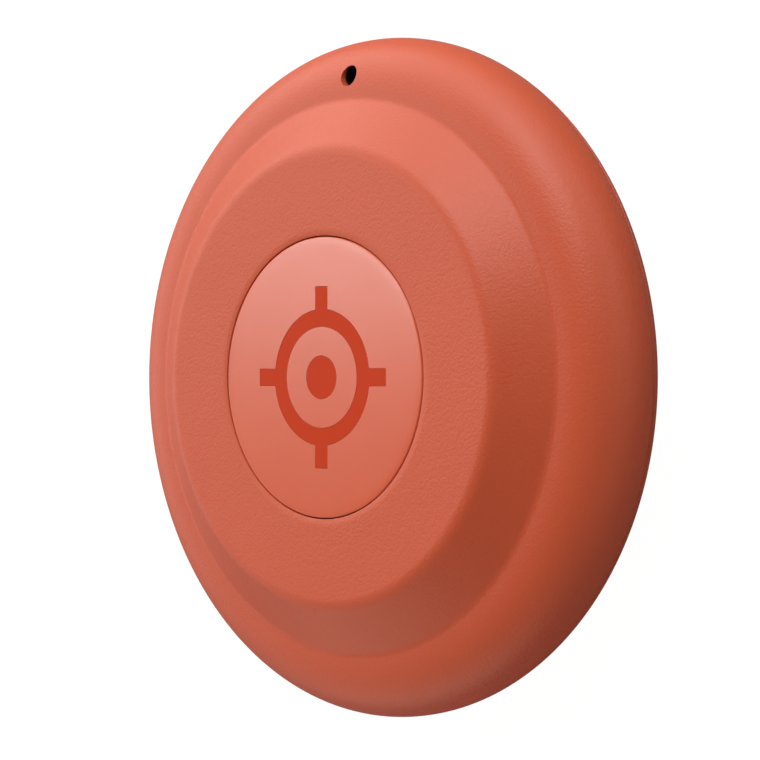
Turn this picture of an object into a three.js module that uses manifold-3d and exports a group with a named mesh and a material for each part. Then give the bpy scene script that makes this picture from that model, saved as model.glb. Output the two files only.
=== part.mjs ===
// Round wireless tracker tag: a two-shell plastic disc with a raised round boss, a flush push
// button, and a coin cell, circuit board and sounder inside.
// Millimetres. The tag lies on its back. +Z points out of the button, +Y points to the sound
// port, and the origin is the middle of the back face.

import * as THREE from 'three';
import { mergeVertices } from 'three/addons/utils/BufferGeometryUtils.js';
import Module from 'manifold-3d';

const wasm = await Module();
wasm.setup();

// ---------------------------------------------------------------- driving dimensions

// Outer form
const DISC_DIAMETER = 32;
const DISC_THICKNESS = 8;
const FLANGE_WIDTH = 3.04; // band between the rim and the foot of the raised boss
const FLANGE_RISE = 2.38; // height of that band above the middle plane
const RIM_SQUARENESS = 2.1; // exponent of the rim section: 2 is an ellipse
const SLOPE_WIDTH = 2.36; // sloping side of the boss, seen from the front
const FACE_EDGE_RADIUS = 1.15; // rounding between the face and the slope

// Walls and the joint between the two shells
const WALL = 1;
const COVER_FLOOR = 0.75;
const RIM_WALL = 1.6; // thickness of the front shell at its open edge
const RIM_POCKET_RISE = 0.95; // where that wall ends inside, above the middle plane
const RIM_POCKET_FLAT = 0.6; // width of the flat ceiling outside the inner crease
const PARTING_DROP = 0.6; // the shells meet this far below the middle plane
const PARTING_GAP = 0.06;
const SPIGOT_CLEARANCE = 0.25; // between the cover's standing ring and the front shell
const SPIGOT_WALL = 0.65;
const SPIGOT_RISE = 0.5; // top of that ring above the middle plane
const SNAP_LEVEL = 0.08; // foot of the snap beads above the middle plane
const SNAP_BEAD = 0.18; // how far the snap beads stand out of the ring
const SNAP_BEAD_HEIGHT = 0.24;
const SNAP_ANGLES = [45, 135, 225, 315];
const SLIT_ANGLES = [0, 180, 270];
const SNAP_GROOVE = 0.2; // depth of the groove that the beads spring into
const FINGER_SLIT = 1.2;
const SEAL_THICKNESS = 0.34;
const SEAL_INSET = 1.3; // from the rim to the middle of the seal
const PRY_NOTCH = [3.2, 0.75, 0.5]; // width, depth, height

// Coin cell, a standard 2032
const CELL_DIAMETER = 20;
const CELL_THICKNESS = 3.2;
const CELL_SHEET = 0.25; // metal thickness of can and cap
const CELL_CORNER = 0.3;
const CELL_CRIMP = 0.65; // how far the can's rim is rolled in
const CELL_CAN_STEP = 0.2; // the can's rim is this far below the cap's face
const CELL_CAP_DEPTH = 1.2;
const CELL_GASKET_WALL = 0.45;
const CELL_CLEARANCE = 0.25; // round the cell in its frame
const CELL_DROP = 2.99; // from the middle plane down to the cell's lower face
const PAD_DIAMETER = 12; // its foam fills what is left between the cover and the cell

// Frame, screws and board
const FRAME_WALL = 0.95;
const FRAME_LIP = 0.35; // thickness of the lip over the edge of the cell
const FRAME_LIP_REACH = 1.45;
const CONTACT_ROOM = 0.45; // from the cell to the board
const BOARD_THICKNESS = 0.6;
const SCREW_DIAMETER = 1;
const SCREW_HEAD_DIAMETER = 1.9;
const SCREW_HEAD_HEIGHT = 0.5;
const SCREW_BITE = 1.0; // length of thread in the boss
const SCREW_HOLE_CLEARANCE = 0.05;
const LUG_DIAMETER = 2.4;
const LUG_THICKNESS = 1;
const SCREW_ANGLES = [30, 150, 270];
const RIB_ANGLES = [60, 180, 300];

// Button
const BUTTON_DIAMETER = 13;
const BUTTON_GAP = 0.1;
const BUTTON_EDGE_RADIUS = 0.12;
const BUTTON_TRAVEL = 0.25;
const BUTTON_FLANGE = 0.75; // ledge that keeps the cap inside the shell
const BUTTON_FLANGE_HEIGHT = 0.45;
const BUTTON_TOP = 0.9; // thickness of the cap's top
const BUTTON_SKIRT = 0.6;
const MARK_OUTER_RADIUS = 3.15; // ring of the locating mark
const MARK_STROKE = 0.8;
const MARK_TICK_REACH = 4.2;
const MARK_DOT_RADIUS = 1;
const MARK_DEPTH = 0.2;

// Switch and parts on the board
const SWITCH_SIZE = [3.4, 3, 0.4];
const DOME_DIAMETER = 2.4;
const DOME_HEIGHT = 0.4;
const PLUNGER_DIAMETER = 2.2;
const SHIELD_WIDTH = 4.2;
const SHIELD_HEIGHT = 0.75;
const SHIELD_SHEET = 0.15;
const PART_SPACING = 0.5; // between neighbouring parts on the board

// Sound port and sounder
const PORT_DIAMETER = 1;
const PORT_INSET = 1.9; // from the rim to the middle of the port
const SOUNDER_SIZE = [4, 3.7, 1.5];
const SOUNDER_WALL = 0.3;
const SOUNDER_LID = 0.15;
const SOUNDER_RISE = 0.5; // top of the sounder's box above the middle plane
const PORT_GASKET_HEIGHT = 0.3;

// Antenna
const ANTENNA_SPAN = [168, 252]; // degrees, measured like the screw angles from +X
const ANTENNA_WIDTH = 1.6;
const ANTENNA_SHEET = 0.12;
const ANTENNA_FEED_ANGLE = 203;

const SEAT = 0.03; // air left between pieces that touch
const BIG_ROUND = 48; // facets round the shells
const MID_ROUND = 32;
const SMALL_ROUND = 16;

// ---------------------------------------------------------------- levels and radii

const rimRadius = DISC_DIAMETER / 2;
const middle = DISC_THICKNESS / 2;
const creaseRadius = rimRadius - FLANGE_WIDTH;
const faceRadius = creaseRadius - SLOPE_WIDTH;
const slopeAngle = Math.atan2(middle - FLANGE_RISE, SLOPE_WIDTH);
const faceUnder = DISC_THICKNESS - WALL;

const shellInner = rimRadius - RIM_WALL;
const spigotOuter = shellInner - SPIGOT_CLEARANCE;
const spigotInner = spigotOuter - SPIGOT_WALL;
const spigotTop = middle + SPIGOT_RISE;
const shellEdge = middle - PARTING_DROP;
const coverEdge = shellEdge - PARTING_GAP;
const snapBottom = middle + SNAP_LEVEL;
const snapTop = snapBottom + SNAP_BEAD_HEIGHT;

const padBottom = COVER_FLOOR + SEAT;
const cellBottom = middle - CELL_DROP;
const padTop = cellBottom - SEAT;
const cellTop = cellBottom + CELL_THICKNESS;
const cellRadius = CELL_DIAMETER / 2;
const boardBottom = cellTop + CONTACT_ROOM;
const boardTop = boardBottom + BOARD_THICKNESS;
const frameTop = boardBottom - SEAT;
const frameInner = cellRadius + CELL_CLEARANCE;
const frameOuter = frameInner + FRAME_WALL;
const lugRadius = LUG_DIAMETER / 2;
const screwCircle = spigotInner - 0.05 - lugRadius;
const boardRadius = screwCircle - lugRadius - 0.05;

const buttonRadius = BUTTON_DIAMETER / 2;
const openingRadius = buttonRadius + BUTTON_GAP;
const flangeTop = faceUnder - SEAT;
const flangeBottom = flangeTop - BUTTON_FLANGE_HEIGHT;
const flangeRadius = buttonRadius + BUTTON_FLANGE;
const ringInner = buttonRadius - 0.1;
const ringOuter = flangeRadius - 0.1;
const capUnder = DISC_THICKNESS - BUTTON_TOP;
const partBase = boardTop + SEAT;
const switchTop = partBase + SWITCH_SIZE[2];
const domeTop = switchTop + SEAT + DOME_HEIGHT;

const portY = rimRadius - PORT_INSET;
const sounderTop = middle + SOUNDER_RISE;
const sounderBottom = sounderTop - SOUNDER_SIZE[2];
const sounderY = shellInner - SPIGOT_CLEARANCE - 0.1 - SOUNDER_SIZE[1] / 2;
const lidTop = sounderTop + SEAT + SOUNDER_LID;
const portSeat = lidTop + SEAT + PORT_GASKET_HEIGHT + SEAT;

// ---------------------------------------------------------------- materials

function finish(color, roughness, metalness = 0) {
  return new THREE.MeshStandardMaterial({ color, roughness, metalness });
}

const shellPlastic = finish(0xcb664e, 0.55);
const buttonPlastic = finish(0xdb7b61, 0.42);
const markPlastic = finish(0xc3462b, 0.45);
const framePlastic = finish(0x2b2c2f, 0.6);
const blackPlastic = finish(0x1a1a1c, 0.5);
const silicone = finish(0xd9d6cf, 0.7);
const darkRubber = finish(0x26262a, 0.85);
const foam = finish(0x3a3a3d, 0.95);
const steel = finish(0xb9bbbd, 0.3, 1);
const nickel = finish(0xc9c6bd, 0.28, 1);
const gold = finish(0xd6b25e, 0.3, 1);
const copper = finish(0xb8693c, 0.35, 1);
const solderMask = finish(0x14402f, 0.4);
const ceramic = finish(0xb59a72, 0.5);
const cathodeMix = finish(0x2a2a2a, 0.9);
const lithium = finish(0xa8abae, 0.45, 1);
const fleece = finish(0xe8e8e4, 0.95);

// ---------------------------------------------------------------- shape helpers

// A profile of [radius, height] points turned about the Z axis, anticlockwise in that plane.
function revolve(profile, facets = BIG_ROUND) {
  const points = profile.map(([radius, height]) => new THREE.Vector2(radius, height));
  const geometry = new THREE.LatheGeometry(points, facets);
  geometry.rotateX(Math.PI / 2);
  return geometry;
}

// The same for a ring, whose profile doesn't touch the axis: it closes on its first point.
function revolveRing(profile, facets = BIG_ROUND) {
  return revolve([...profile, profile[0]], facets);
}

// A rectangular ring.
function collar(inner, outer, bottom, top, facets = MID_ROUND) {
  return revolveRing([[inner, bottom], [outer, bottom], [outer, top], [inner, top]], facets);
}

// A disc or rod standing on the Z axis, from bottom to top.
function rod(radius, bottom, top, facets = SMALL_ROUND) {
  const geometry = new THREE.CylinderGeometry(radius, radius, top - bottom, facets);
  geometry.rotateX(Math.PI / 2);
  geometry.translate(0, 0, (bottom + top) / 2);
  return geometry;
}

// A box given by its corners.
function block(low, high) {
  const size = high.map((value, axis) => value - low[axis]);
  const geometry = new THREE.BoxGeometry(...size);
  geometry.translate(...low.map((value, axis) => value + size[axis] / 2));
  return geometry;
}

// A flat arc of even width, its angles in degrees from +X.
function arcSlab(inner, outer, from, to, bottom, top) {
  const start = THREE.MathUtils.degToRad(from);
  const end = THREE.MathUtils.degToRad(to);
  const outline = new THREE.Shape();
  outline.absarc(0, 0, outer, start, end, false);
  outline.absarc(0, 0, inner, end, start, true);
  outline.closePath();
  const geometry = new THREE.ExtrudeGeometry(outline, {
    depth: top - bottom, bevelEnabled: false, curveSegments: SMALL_ROUND,
  });
  geometry.translate(0, 0, bottom);
  return geometry;
}

// A strip bent from sheet: its centre line in the X-Z plane, its width along Y.
function bentStrip(line, sheet, width) {
  const half = sheet / 2;
  const above = line.map(([x, z]) => new THREE.Vector2(x, z + half));
  const below = line.map(([x, z]) => new THREE.Vector2(x, z - half)).reverse();
  const geometry = new THREE.ExtrudeGeometry(new THREE.Shape([...above, ...below]), {
    depth: width, bevelEnabled: false,
  });
  geometry.rotateX(Math.PI / 2);
  geometry.translate(0, width / 2, 0);
  return geometry;
}

// Moves a shape out along the direction of an angle, turned with it.
function atAngle(geometry, degrees, radius = 0) {
  geometry.translate(radius, 0, 0);
  geometry.rotateZ(THREE.MathUtils.degToRad(degrees));
  return geometry;
}

function solid(geometry) {
  const bare = new THREE.BufferGeometry();
  bare.setAttribute('position', geometry.getAttribute('position'));
  bare.setIndex(geometry.getIndex());
  const merged = mergeVertices(bare, 1e-4);
  const index = merged.getIndex().array;
  const corners = [];
  for (let i = 0; i < index.length; i += 3) {
    const [a, b, c] = [index[i], index[i + 1], index[i + 2]];
    if (a !== b && b !== c && c !== a) corners.push(a, b, c);
  }
  const vertProperties = new Float32Array(merged.getAttribute('position').array);
  const triVerts = new Uint32Array(corners);
  return new wasm.Manifold(new wasm.Mesh({ numProp: 3, vertProperties, triVerts }));
}

// One shape with others joined to it and then others cut from it.
function carve(base, joined, removed) {
  let result = solid(base);
  for (const shape of joined) result = result.add(solid(shape));
  for (const shape of removed) result = result.subtract(solid(shape));
  const mesh = result.getMesh();
  const geometry = new THREE.BufferGeometry();
  geometry.setAttribute('position', new THREE.BufferAttribute(mesh.vertProperties, 3));
  geometry.setIndex(new THREE.BufferAttribute(mesh.triVerts, 1));
  geometry.computeVertexNormals();
  return geometry;
}

const tag = new THREE.Group();

function place(name, geometry, material) {
  const mesh = new THREE.Mesh(geometry, material);
  mesh.name = name;
  tag.add(mesh);
}

// ---------------------------------------------------------------- outer form

// The rim's section: [radius, distance from the middle plane], from the crease to the rim.
// side is a height at which the section stops, measured from the middle plane.
function rimSection(steps, side = 0) {
  const last = Math.asin(Math.pow(side / FLANGE_RISE, RIM_SQUARENESS / 2));
  const points = [];
  for (let i = 0; i <= steps; i += 1) {
    const turn = Math.PI / 2 + (last - Math.PI / 2) * (i / steps);
    const out = Math.pow(Math.max(Math.cos(turn), 0), 2 / RIM_SQUARENESS);
    const rise = Math.pow(Math.sin(turn), 2 / RIM_SQUARENESS);
    points.push([creaseRadius + FLANGE_WIDTH * out, FLANGE_RISE * rise]);
  }
  return points;
}

// The boss above the crease: [radius, distance from the middle plane], from the face outwards.
function faceEdge(steps) {
  const reach = FACE_EDGE_RADIUS * Math.tan(slopeAngle / 2);
  const centre = [faceRadius - reach, middle - FACE_EDGE_RADIUS];
  const points = [];
  for (let i = 0; i <= steps; i += 1) {
    const turn = slopeAngle * (i / steps);
    points.push([
      centre[0] + FACE_EDGE_RADIUS * Math.sin(turn),
      centre[1] + FACE_EDGE_RADIUS * Math.cos(turn),
    ]);
  }
  return points;
}

// Foot of the slope on the inside of a wall of even thickness.
const innerCrease = [creaseRadius - WALL * Math.tan(slopeAngle / 2), FLANGE_RISE - WALL];

// Height of the cover's inner surface at a radius: its floor, then its slope.
function coverInsideAt(radius) {
  const start = [faceRadius - COVER_FLOOR * Math.tan(slopeAngle / 2), COVER_FLOOR];
  const end = [innerCrease[0], middle - innerCrease[1]];
  const share = (radius - start[0]) / (end[0] - start[0]);
  return start[1] + (end[1] - start[1]) * Math.max(share, 0);
}

// Screw bosses, ribs over the board and the seat of the sound port.
function shellBosses() {
  const shapes = [];
  for (const angle of SCREW_ANGLES) {
    const boss = rod(lugRadius - 0.05, frameTop + SEAT, middle + FLANGE_RISE - 0.2);
    shapes.push(atAngle(boss, angle, screwCircle));
  }
  for (const angle of RIB_ANGLES) {
    const rib = block([-0.35, -0.45, boardTop + SEAT], [0.35, 0.45, faceUnder + WALL / 4]);
    shapes.push(atAngle(rib, angle, boardRadius - 0.5));
  }
  const half = SOUNDER_SIZE[0] / 2 - 0.3;
  shapes.push(block([-half, portY - 2, portSeat], [half, shellInner + 0.2, portSeat + 0.9]));
  return shapes;
}

function makeFrontShell() {
  const outside = [
    ...faceEdge(3).map(([radius, rise]) => [radius, middle + rise]),
    ...rimSection(8).map(([radius, rise]) => [radius, middle + rise]),
    [rimSection(1, PARTING_DROP)[1][0], shellEdge],
  ];
  const inside = [
    [shellInner, shellEdge],
    [shellInner, snapBottom - SNAP_LEVEL],
    [shellInner + SNAP_GROOVE, snapBottom],
    [shellInner + SNAP_GROOVE, snapTop],
    [shellInner, snapTop + SNAP_LEVEL],
    [shellInner, middle + RIM_POCKET_RISE],
    [creaseRadius + RIM_POCKET_FLAT, middle + innerCrease[1]],
    [innerCrease[0], middle + innerCrease[1]],
    [faceRadius - WALL * Math.tan(slopeAngle / 2), faceUnder],
    [openingRadius, faceUnder],
    [openingRadius, DISC_THICKNESS],
  ];
  const shell = revolveRing([...outside, ...inside].reverse());
  const pilotRadius = SCREW_DIAMETER / 2 + SCREW_HOLE_CLEARANCE;
  const pilots = SCREW_ANGLES.map((angle) => atAngle(
    rod(pilotRadius, frameTop - 0.1, frameTop + SCREW_BITE + 0.3), angle, screwCircle,
  ));
  const port = rod(PORT_DIAMETER / 2, portSeat - 0.1, DISC_THICKNESS);
  port.translate(0, portY, 0);
  place('front_shell', carve(shell, shellBosses(), [...pilots, port]), shellPlastic);
}

function makeBackCover() {
  const outside = [
    ...faceEdge(3).map(([radius, rise]) => [radius, middle - rise]),
    ...rimSection(8, PARTING_DROP + PARTING_GAP).map(([radius, rise]) => [radius, middle - rise]),
  ];
  const groove = SEAL_THICKNESS / 2 + 0.04;
  const sealRadius = rimRadius - SEAL_INSET;
  const inside = [
    [sealRadius + groove, coverEdge],
    [sealRadius + groove, coverEdge - SEAL_THICKNESS],
    [sealRadius - groove, coverEdge - SEAL_THICKNESS],
    [sealRadius - groove, coverEdge],
    [spigotOuter, coverEdge],
    [spigotOuter, spigotTop],
    [spigotInner, spigotTop],
    [spigotInner, middle - innerCrease[1]],
    [innerCrease[0], middle - innerCrease[1]],
    [faceRadius - COVER_FLOOR * Math.tan(slopeAngle / 2), COVER_FLOOR],
    [0, COVER_FLOOR],
  ];
  const beads = SNAP_ANGLES.map((angle) => arcSlab(
    spigotInner + 0.1, spigotOuter + SNAP_BEAD, angle - 6, angle + 6, snapBottom, snapTop,
  ));
  const slits = SLIT_ANGLES.map((angle) => atAngle(block(
    [spigotInner - 0.3, -FINGER_SLIT / 2, coverEdge + 0.15],
    [spigotOuter + 0.15, FINGER_SLIT / 2, spigotTop + 0.1],
  ), angle));
  const half = SOUNDER_SIZE[0] / 2 + 0.3;
  const sounderPocket = block(
    [-half, sounderY - SOUNDER_SIZE[1] / 2, sounderBottom - 0.1],
    [half, spigotOuter + 0.08, spigotTop + 0.1],
  );
  const [notchWidth, notchDepth, notchHeight] = PRY_NOTCH;
  const notch = block(
    [-notchWidth / 2, -rimRadius - 0.2, coverEdge - notchHeight],
    [notchWidth / 2, -rimRadius + notchDepth, coverEdge + 0.1],
  );
  const cover = revolve([[0, 0], ...outside, ...inside]);
  place('back_cover', carve(cover, beads, [...slits, sounderPocket, notch]), shellPlastic);
}

function makeCoverTrim() {
  const section = SEAL_THICKNESS / 2;
  const seal = new THREE.TorusGeometry(rimRadius - SEAL_INSET, section, 6, BIG_ROUND);
  seal.translate(0, 0, coverEdge - SEAL_THICKNESS + SEAT + section);
  place('rim_seal', seal, darkRubber);
  place('cell_pad', rod(PAD_DIAMETER / 2, padBottom, padTop, MID_ROUND), foam);
}

// ---------------------------------------------------------------- coin cell

function makeCell() {
  const facets = MID_ROUND + 8;
  const floor = cellBottom + CELL_SHEET;
  const wall = cellRadius - CELL_SHEET;
  const crimp = cellRadius - CELL_CRIMP;
  const rim = cellTop - CELL_CAN_STEP;
  place('cell_can', revolve([
    [0, cellBottom], [cellRadius - CELL_CORNER, cellBottom], [cellRadius, cellBottom + CELL_CORNER],
    [cellRadius, rim - CELL_CORNER], [cellRadius - CELL_CORNER, rim], [crimp, rim],
    [crimp, rim - CELL_SHEET], [wall, rim - CELL_SHEET - 0.15], [wall, floor], [0, floor],
  ], facets), nickel);

  const gasketOuter = wall - SEAT;
  const gasketInner = wall - CELL_GASKET_WALL;
  const shoulder = rim - CELL_SHEET - 0.2;
  const lipTop = rim + 0.04;
  place('cell_gasket', revolveRing([
    [gasketInner, floor + SEAT], [gasketOuter, floor + SEAT], [gasketOuter, shoulder],
    [crimp - SEAT, shoulder + 0.15], [crimp - SEAT, lipTop], [gasketInner - 0.22, lipTop],
    [gasketInner, cellTop - CELL_CAP_DEPTH + CELL_CORNER],
  ], facets), blackPlastic);

  const capRadius = gasketInner - 0.27;
  const capInner = capRadius - CELL_SHEET;
  const capFoot = cellTop - CELL_CAP_DEPTH;
  const capUnderside = cellTop - CELL_SHEET;
  place('cell_cap', revolve([
    [0, capUnderside], [capInner - 0.5, capUnderside], [capInner, capFoot], [capRadius, capFoot],
    [capRadius - 0.05, capFoot + CELL_CORNER], [capInner - CELL_CORNER, cellTop], [0, cellTop],
  ], facets), steel);

  const inside = capInner - 0.1;
  const split = capFoot - SEAT;
  const fleeceBottom = split - 0.12;
  place('cell_cathode', rod(inside, floor + SEAT, fleeceBottom - SEAT, MID_ROUND), cathodeMix);
  place('cell_separator', rod(inside, fleeceBottom, split, MID_ROUND), fleece);
  const anode = rod(inside - 0.6, split + SEAT, capUnderside - SEAT, MID_ROUND);
  place('cell_anode', anode, lithium);
}

// ---------------------------------------------------------------- frame, board and contacts

function makeFrame() {
  const foot = coverInsideAt(frameOuter) + 0.15;
  const lip = frameTop - FRAME_LIP;
  const lipInner = frameInner - FRAME_LIP_REACH;
  const ring = revolveRing([
    [frameInner, foot], [frameOuter, foot], [frameOuter, frameTop],
    [lipInner, frameTop], [lipInner, lip], [frameInner, lip],
  ]);
  const lugs = [];
  const holes = [];
  for (const angle of SCREW_ANGLES) {
    const bottom = frameTop - LUG_THICKNESS;
    const half = lugRadius * 0.8;
    const arm = block([frameInner + 0.3, -half, bottom], [screwCircle, half, frameTop]);
    lugs.push(atAngle(rod(lugRadius, bottom, frameTop), angle, screwCircle));
    lugs.push(atAngle(arm, angle));
    const hole = rod(SCREW_DIAMETER / 2 + 2 * SCREW_HOLE_CLEARANCE, bottom - 0.1, frameTop + 0.1);
    holes.push(atAngle(hole, angle, screwCircle));
  }
  const [from, to] = ANTENNA_SPAN;
  const shelf = arcSlab(
    frameInner + 0.3, spigotInner - 0.1, from - 3, to + 3, frameTop - 0.4, frameTop,
  );
  const half = SOUNDER_SIZE[0] / 2 + 0.3;
  const sounderGap = block(
    [-half, sounderY - SOUNDER_SIZE[1] / 2 - 0.25, 0], [half, rimRadius, DISC_THICKNESS],
  );
  const contactSlot = block(
    [lipInner - 0.1, -1.5, foot - 0.1], [frameInner + 0.35, 1.5, frameTop + 0.1],
  );
  const body = carve(ring, [...lugs, shelf], [...holes, sounderGap, contactSlot]);
  place('battery_frame', body, framePlastic);
}

function makeScrews() {
  const shankRadius = SCREW_DIAMETER / 2;
  const headRadius = SCREW_HEAD_DIAMETER / 2;
  const seat = frameTop - LUG_THICKNESS - SEAT;
  const head = seat - SCREW_HEAD_HEIGHT;
  const tip = frameTop + SCREW_BITE;
  SCREW_ANGLES.forEach((angle, i) => {
    const body = revolve([
      [0, head], [headRadius * 0.8, head], [headRadius, head + 0.15], [headRadius, seat],
      [shankRadius, seat], [shankRadius, tip - 0.25], [0, tip],
    ], SMALL_ROUND);
    const slotLong = block([-0.5, -0.12, head - 0.1], [0.5, 0.12, head + 0.25]);
    const slotCross = block([-0.12, -0.5, head - 0.1], [0.12, 0.5, head + 0.25]);
    const screw = carve(body, [], [slotLong, slotCross]);
    place(`screw_${i + 1}`, atAngle(screw, angle, screwCircle), steel);
  });
}

function makeBoard() {
  const half = SOUNDER_SIZE[0] / 2 + 0.35;
  const notch = block(
    [-half, sounderY - SOUNDER_SIZE[1] / 2 - 0.15, 0], [half, rimRadius, DISC_THICKNESS],
  );
  const disc = rod(boardRadius, boardBottom, boardTop, BIG_ROUND);
  place('main_board', carve(disc, [], [notch]), solderMask);
}

function makeContacts() {
  const rest = boardBottom - SEAT - 0.06;
  const touch = cellTop + SEAT + 0.06;
  place('negative_contact', bentStrip(
    [[-5, rest], [-1, rest], [3.4, touch], [4.2, touch], [5, touch + 0.15]], 0.12, 2.6,
  ), gold);
  const leaf = cellRadius + 0.12;
  const foot = coverInsideAt(frameOuter) + 0.5;
  const side = block([leaf - 0.07, -1.1, foot], [leaf + 0.07, 1.1, boardBottom - SEAT]);
  const tab = block(
    [leaf - 1.2, -1.1, boardBottom - SEAT - 0.14], [leaf, 1.1, boardBottom - SEAT],
  );
  place('positive_contact', carve(side, [tab], []), gold);
}

// ---------------------------------------------------------------- parts on the board

function chip(name, size, x, y, material) {
  const [length, width, height] = size;
  place(name, block(
    [x - length / 2, y - width / 2, partBase], [x + length / 2, y + width / 2, partBase + height],
  ), material);
}

// A part near the board's edge, its length across the radius.
function edgePart(name, size, angle, material) {
  const [length, width, height] = size;
  const radius = boardRadius - 0.4 - width / 2;
  const shape = block([-width / 2, -length / 2, partBase], [width / 2, length / 2, partBase + height]);
  place(name, atAngle(shape, angle, radius), material);
}

function makeBoardParts() {
  const start = SWITCH_SIZE[0] / 2 + PART_SPACING;
  const room = ringInner - 0.3;
  const reach = Math.sqrt(room ** 2 - (SHIELD_WIDTH / 2) ** 2);
  const low = [-reach, -SHIELD_WIDTH / 2, partBase];
  const high = [-start, SHIELD_WIDTH / 2, partBase + SHIELD_HEIGHT];
  const hollow = block(
    [low[0] + SHIELD_SHEET, low[1] + SHIELD_SHEET, partBase - 1],
    [high[0] - SHIELD_SHEET, high[1] - SHIELD_SHEET, high[2] - SHIELD_SHEET],
  );
  place('shield_can', carve(block(low, high), [], [hollow]), steel);
  const middleX = (low[0] + high[0]) / 2;
  chip('radio_chip', [reach - start - 0.9, 2.8, 0.4], middleX, 0, blackPlastic);

  const rightSide = Math.sqrt(room ** 2 - 1.9 ** 2);
  const rightX = (start + rightSide) / 2;
  chip('memory_chip', [rightSide - start, 1.5, 0.5], rightX, 1.15, blackPlastic);
  chip('timing_crystal', [rightSide - start - 0.4, 1.2, 0.35], rightX, -0.9, nickel);
  chip('power_inductor', [1.6, 1.6, 0.7], 0, -room + 1.3, darkRubber);
  chip('supply_capacitor', [1.6, 0.8, 0.6], 0, room - 1.1, ceramic);

  edgePart('bulk_capacitor', [3.2, 1.6, 0.9], 330, ceramic);
  edgePart('clock_crystal', [3.2, 1.5, 0.75], 225, nickel);
  edgePart('tuning_coil', [1.2, 0.7, 0.55], 190, darkRubber);
  edgePart('filter_capacitor_1', [1, 0.5, 0.5], 20, ceramic);
  edgePart('filter_capacitor_2', [1, 0.5, 0.5], 38, ceramic);
  edgePart('filter_capacitor_3', [1, 0.5, 0.5], 130, ceramic);
  edgePart('guard_diode', [1.2, 0.8, 0.5], 250, blackPlastic);
}

function makeSwitch() {
  chip('switch_base', SWITCH_SIZE, 0, 0, blackPlastic);
  const radius = DOME_DIAMETER / 2;
  const base = switchTop + SEAT;
  place('switch_dome', revolve([
    [0, base], [radius, base], [radius, base + 0.1], [radius * 0.85, base + DOME_HEIGHT * 0.6],
    [radius * 0.5, domeTop - 0.04], [0, domeTop],
  ], SMALL_ROUND), steel);
}

function makeAntenna() {
  const [from, to] = ANTENNA_SPAN;
  const outer = spigotInner - 0.2;
  const inner = outer - ANTENNA_WIDTH;
  const bottom = frameTop + SEAT;
  place('antenna', arcSlab(inner, outer, from, to, bottom, bottom + ANTENNA_SHEET), copper);
  const low = bottom + ANTENNA_SHEET + SEAT;
  const high = partBase + 0.15;
  const edge = boardRadius + 0.12;
  const upright = block([edge, -0.45, low], [edge + 0.12, 0.45, high]);
  const foot = block([edge, -0.45, low], [edge + 0.7, 0.45, low + 0.12]);
  const tab = block([boardRadius - 0.7, -0.45, high - 0.12], [edge + 0.12, 0.45, high]);
  place('antenna_feed', atAngle(carve(upright, [foot, tab], []), ANTENNA_FEED_ANGLE), gold);
}

// ---------------------------------------------------------------- sounder

function makeSounder() {
  const [length, width] = SOUNDER_SIZE;
  const low = [-length / 2, sounderY - width / 2, sounderBottom];
  const high = [length / 2, sounderY + width / 2, sounderTop];
  const well = block(
    [low[0] + SOUNDER_WALL, low[1] + SOUNDER_WALL, sounderBottom + 0.15],
    [high[0] - SOUNDER_WALL, high[1] - SOUNDER_WALL, sounderTop + 1],
  );
  place('sounder_case', carve(block(low, high), [], [well]), blackPlastic);

  const lid = block([low[0], low[1], sounderTop + SEAT], [high[0], high[1], lidTop]);
  const mouth = rod(0.45, sounderTop - 0.1, lidTop + 0.1);
  mouth.translate(0, high[1] - 0.8, 0);
  place('sounder_lid', carve(lid, [], [mouth]), blackPlastic);

  const floor = sounderBottom + 0.15 + SEAT;
  const parts = [
    ['sounder_magnet', rod(0.6, floor, floor + 0.6), steel],
    ['sounder_coil', collar(0.7, 1.25, floor, floor + 0.5, SMALL_ROUND), copper],
    ['sounder_diaphragm', rod(1.45, floor + 0.8, floor + 0.88, SMALL_ROUND), nickel],
  ];
  for (const [name, geometry, material] of parts) {
    geometry.translate(0, sounderY, 0);
    place(name, geometry, material);
  }

  const gasketLow = [-1.5, high[1] - 2.1, lidTop + SEAT];
  const gasketHigh = [1.5, high[1] - 0.05, portSeat - SEAT];
  const channel = block(
    [gasketLow[0] + 0.6, gasketLow[1] + 0.5, 0],
    [gasketHigh[0] - 0.6, gasketHigh[1] - 0.3, DISC_THICKNESS],
  );
  place('port_gasket', carve(block(gasketLow, gasketHigh), [], [channel]), foam);

  const mesh = rod(PORT_DIAMETER / 2 - 0.05, portSeat + 0.1, portSeat + 0.16);
  mesh.translate(0, portY, 0);
  place('port_mesh', mesh, blackPlastic);
}

// ---------------------------------------------------------------- button

// The locating mark: a ring with four ticks, with an even margin round it.
function markShape(margin, bottom, top) {
  const outer = MARK_OUTER_RADIUS + margin;
  const inner = MARK_OUTER_RADIUS - MARK_STROKE - margin;
  const ring = collar(inner, outer, bottom, top, BIG_ROUND);
  const half = MARK_STROKE / 2 + margin;
  const ticks = [0, 90, 180, 270].map((angle) => atAngle(block(
    [outer - 0.3, -half, bottom], [MARK_TICK_REACH + margin, half, top],
  ), angle));
  return carve(ring, ticks, []);
}

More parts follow.
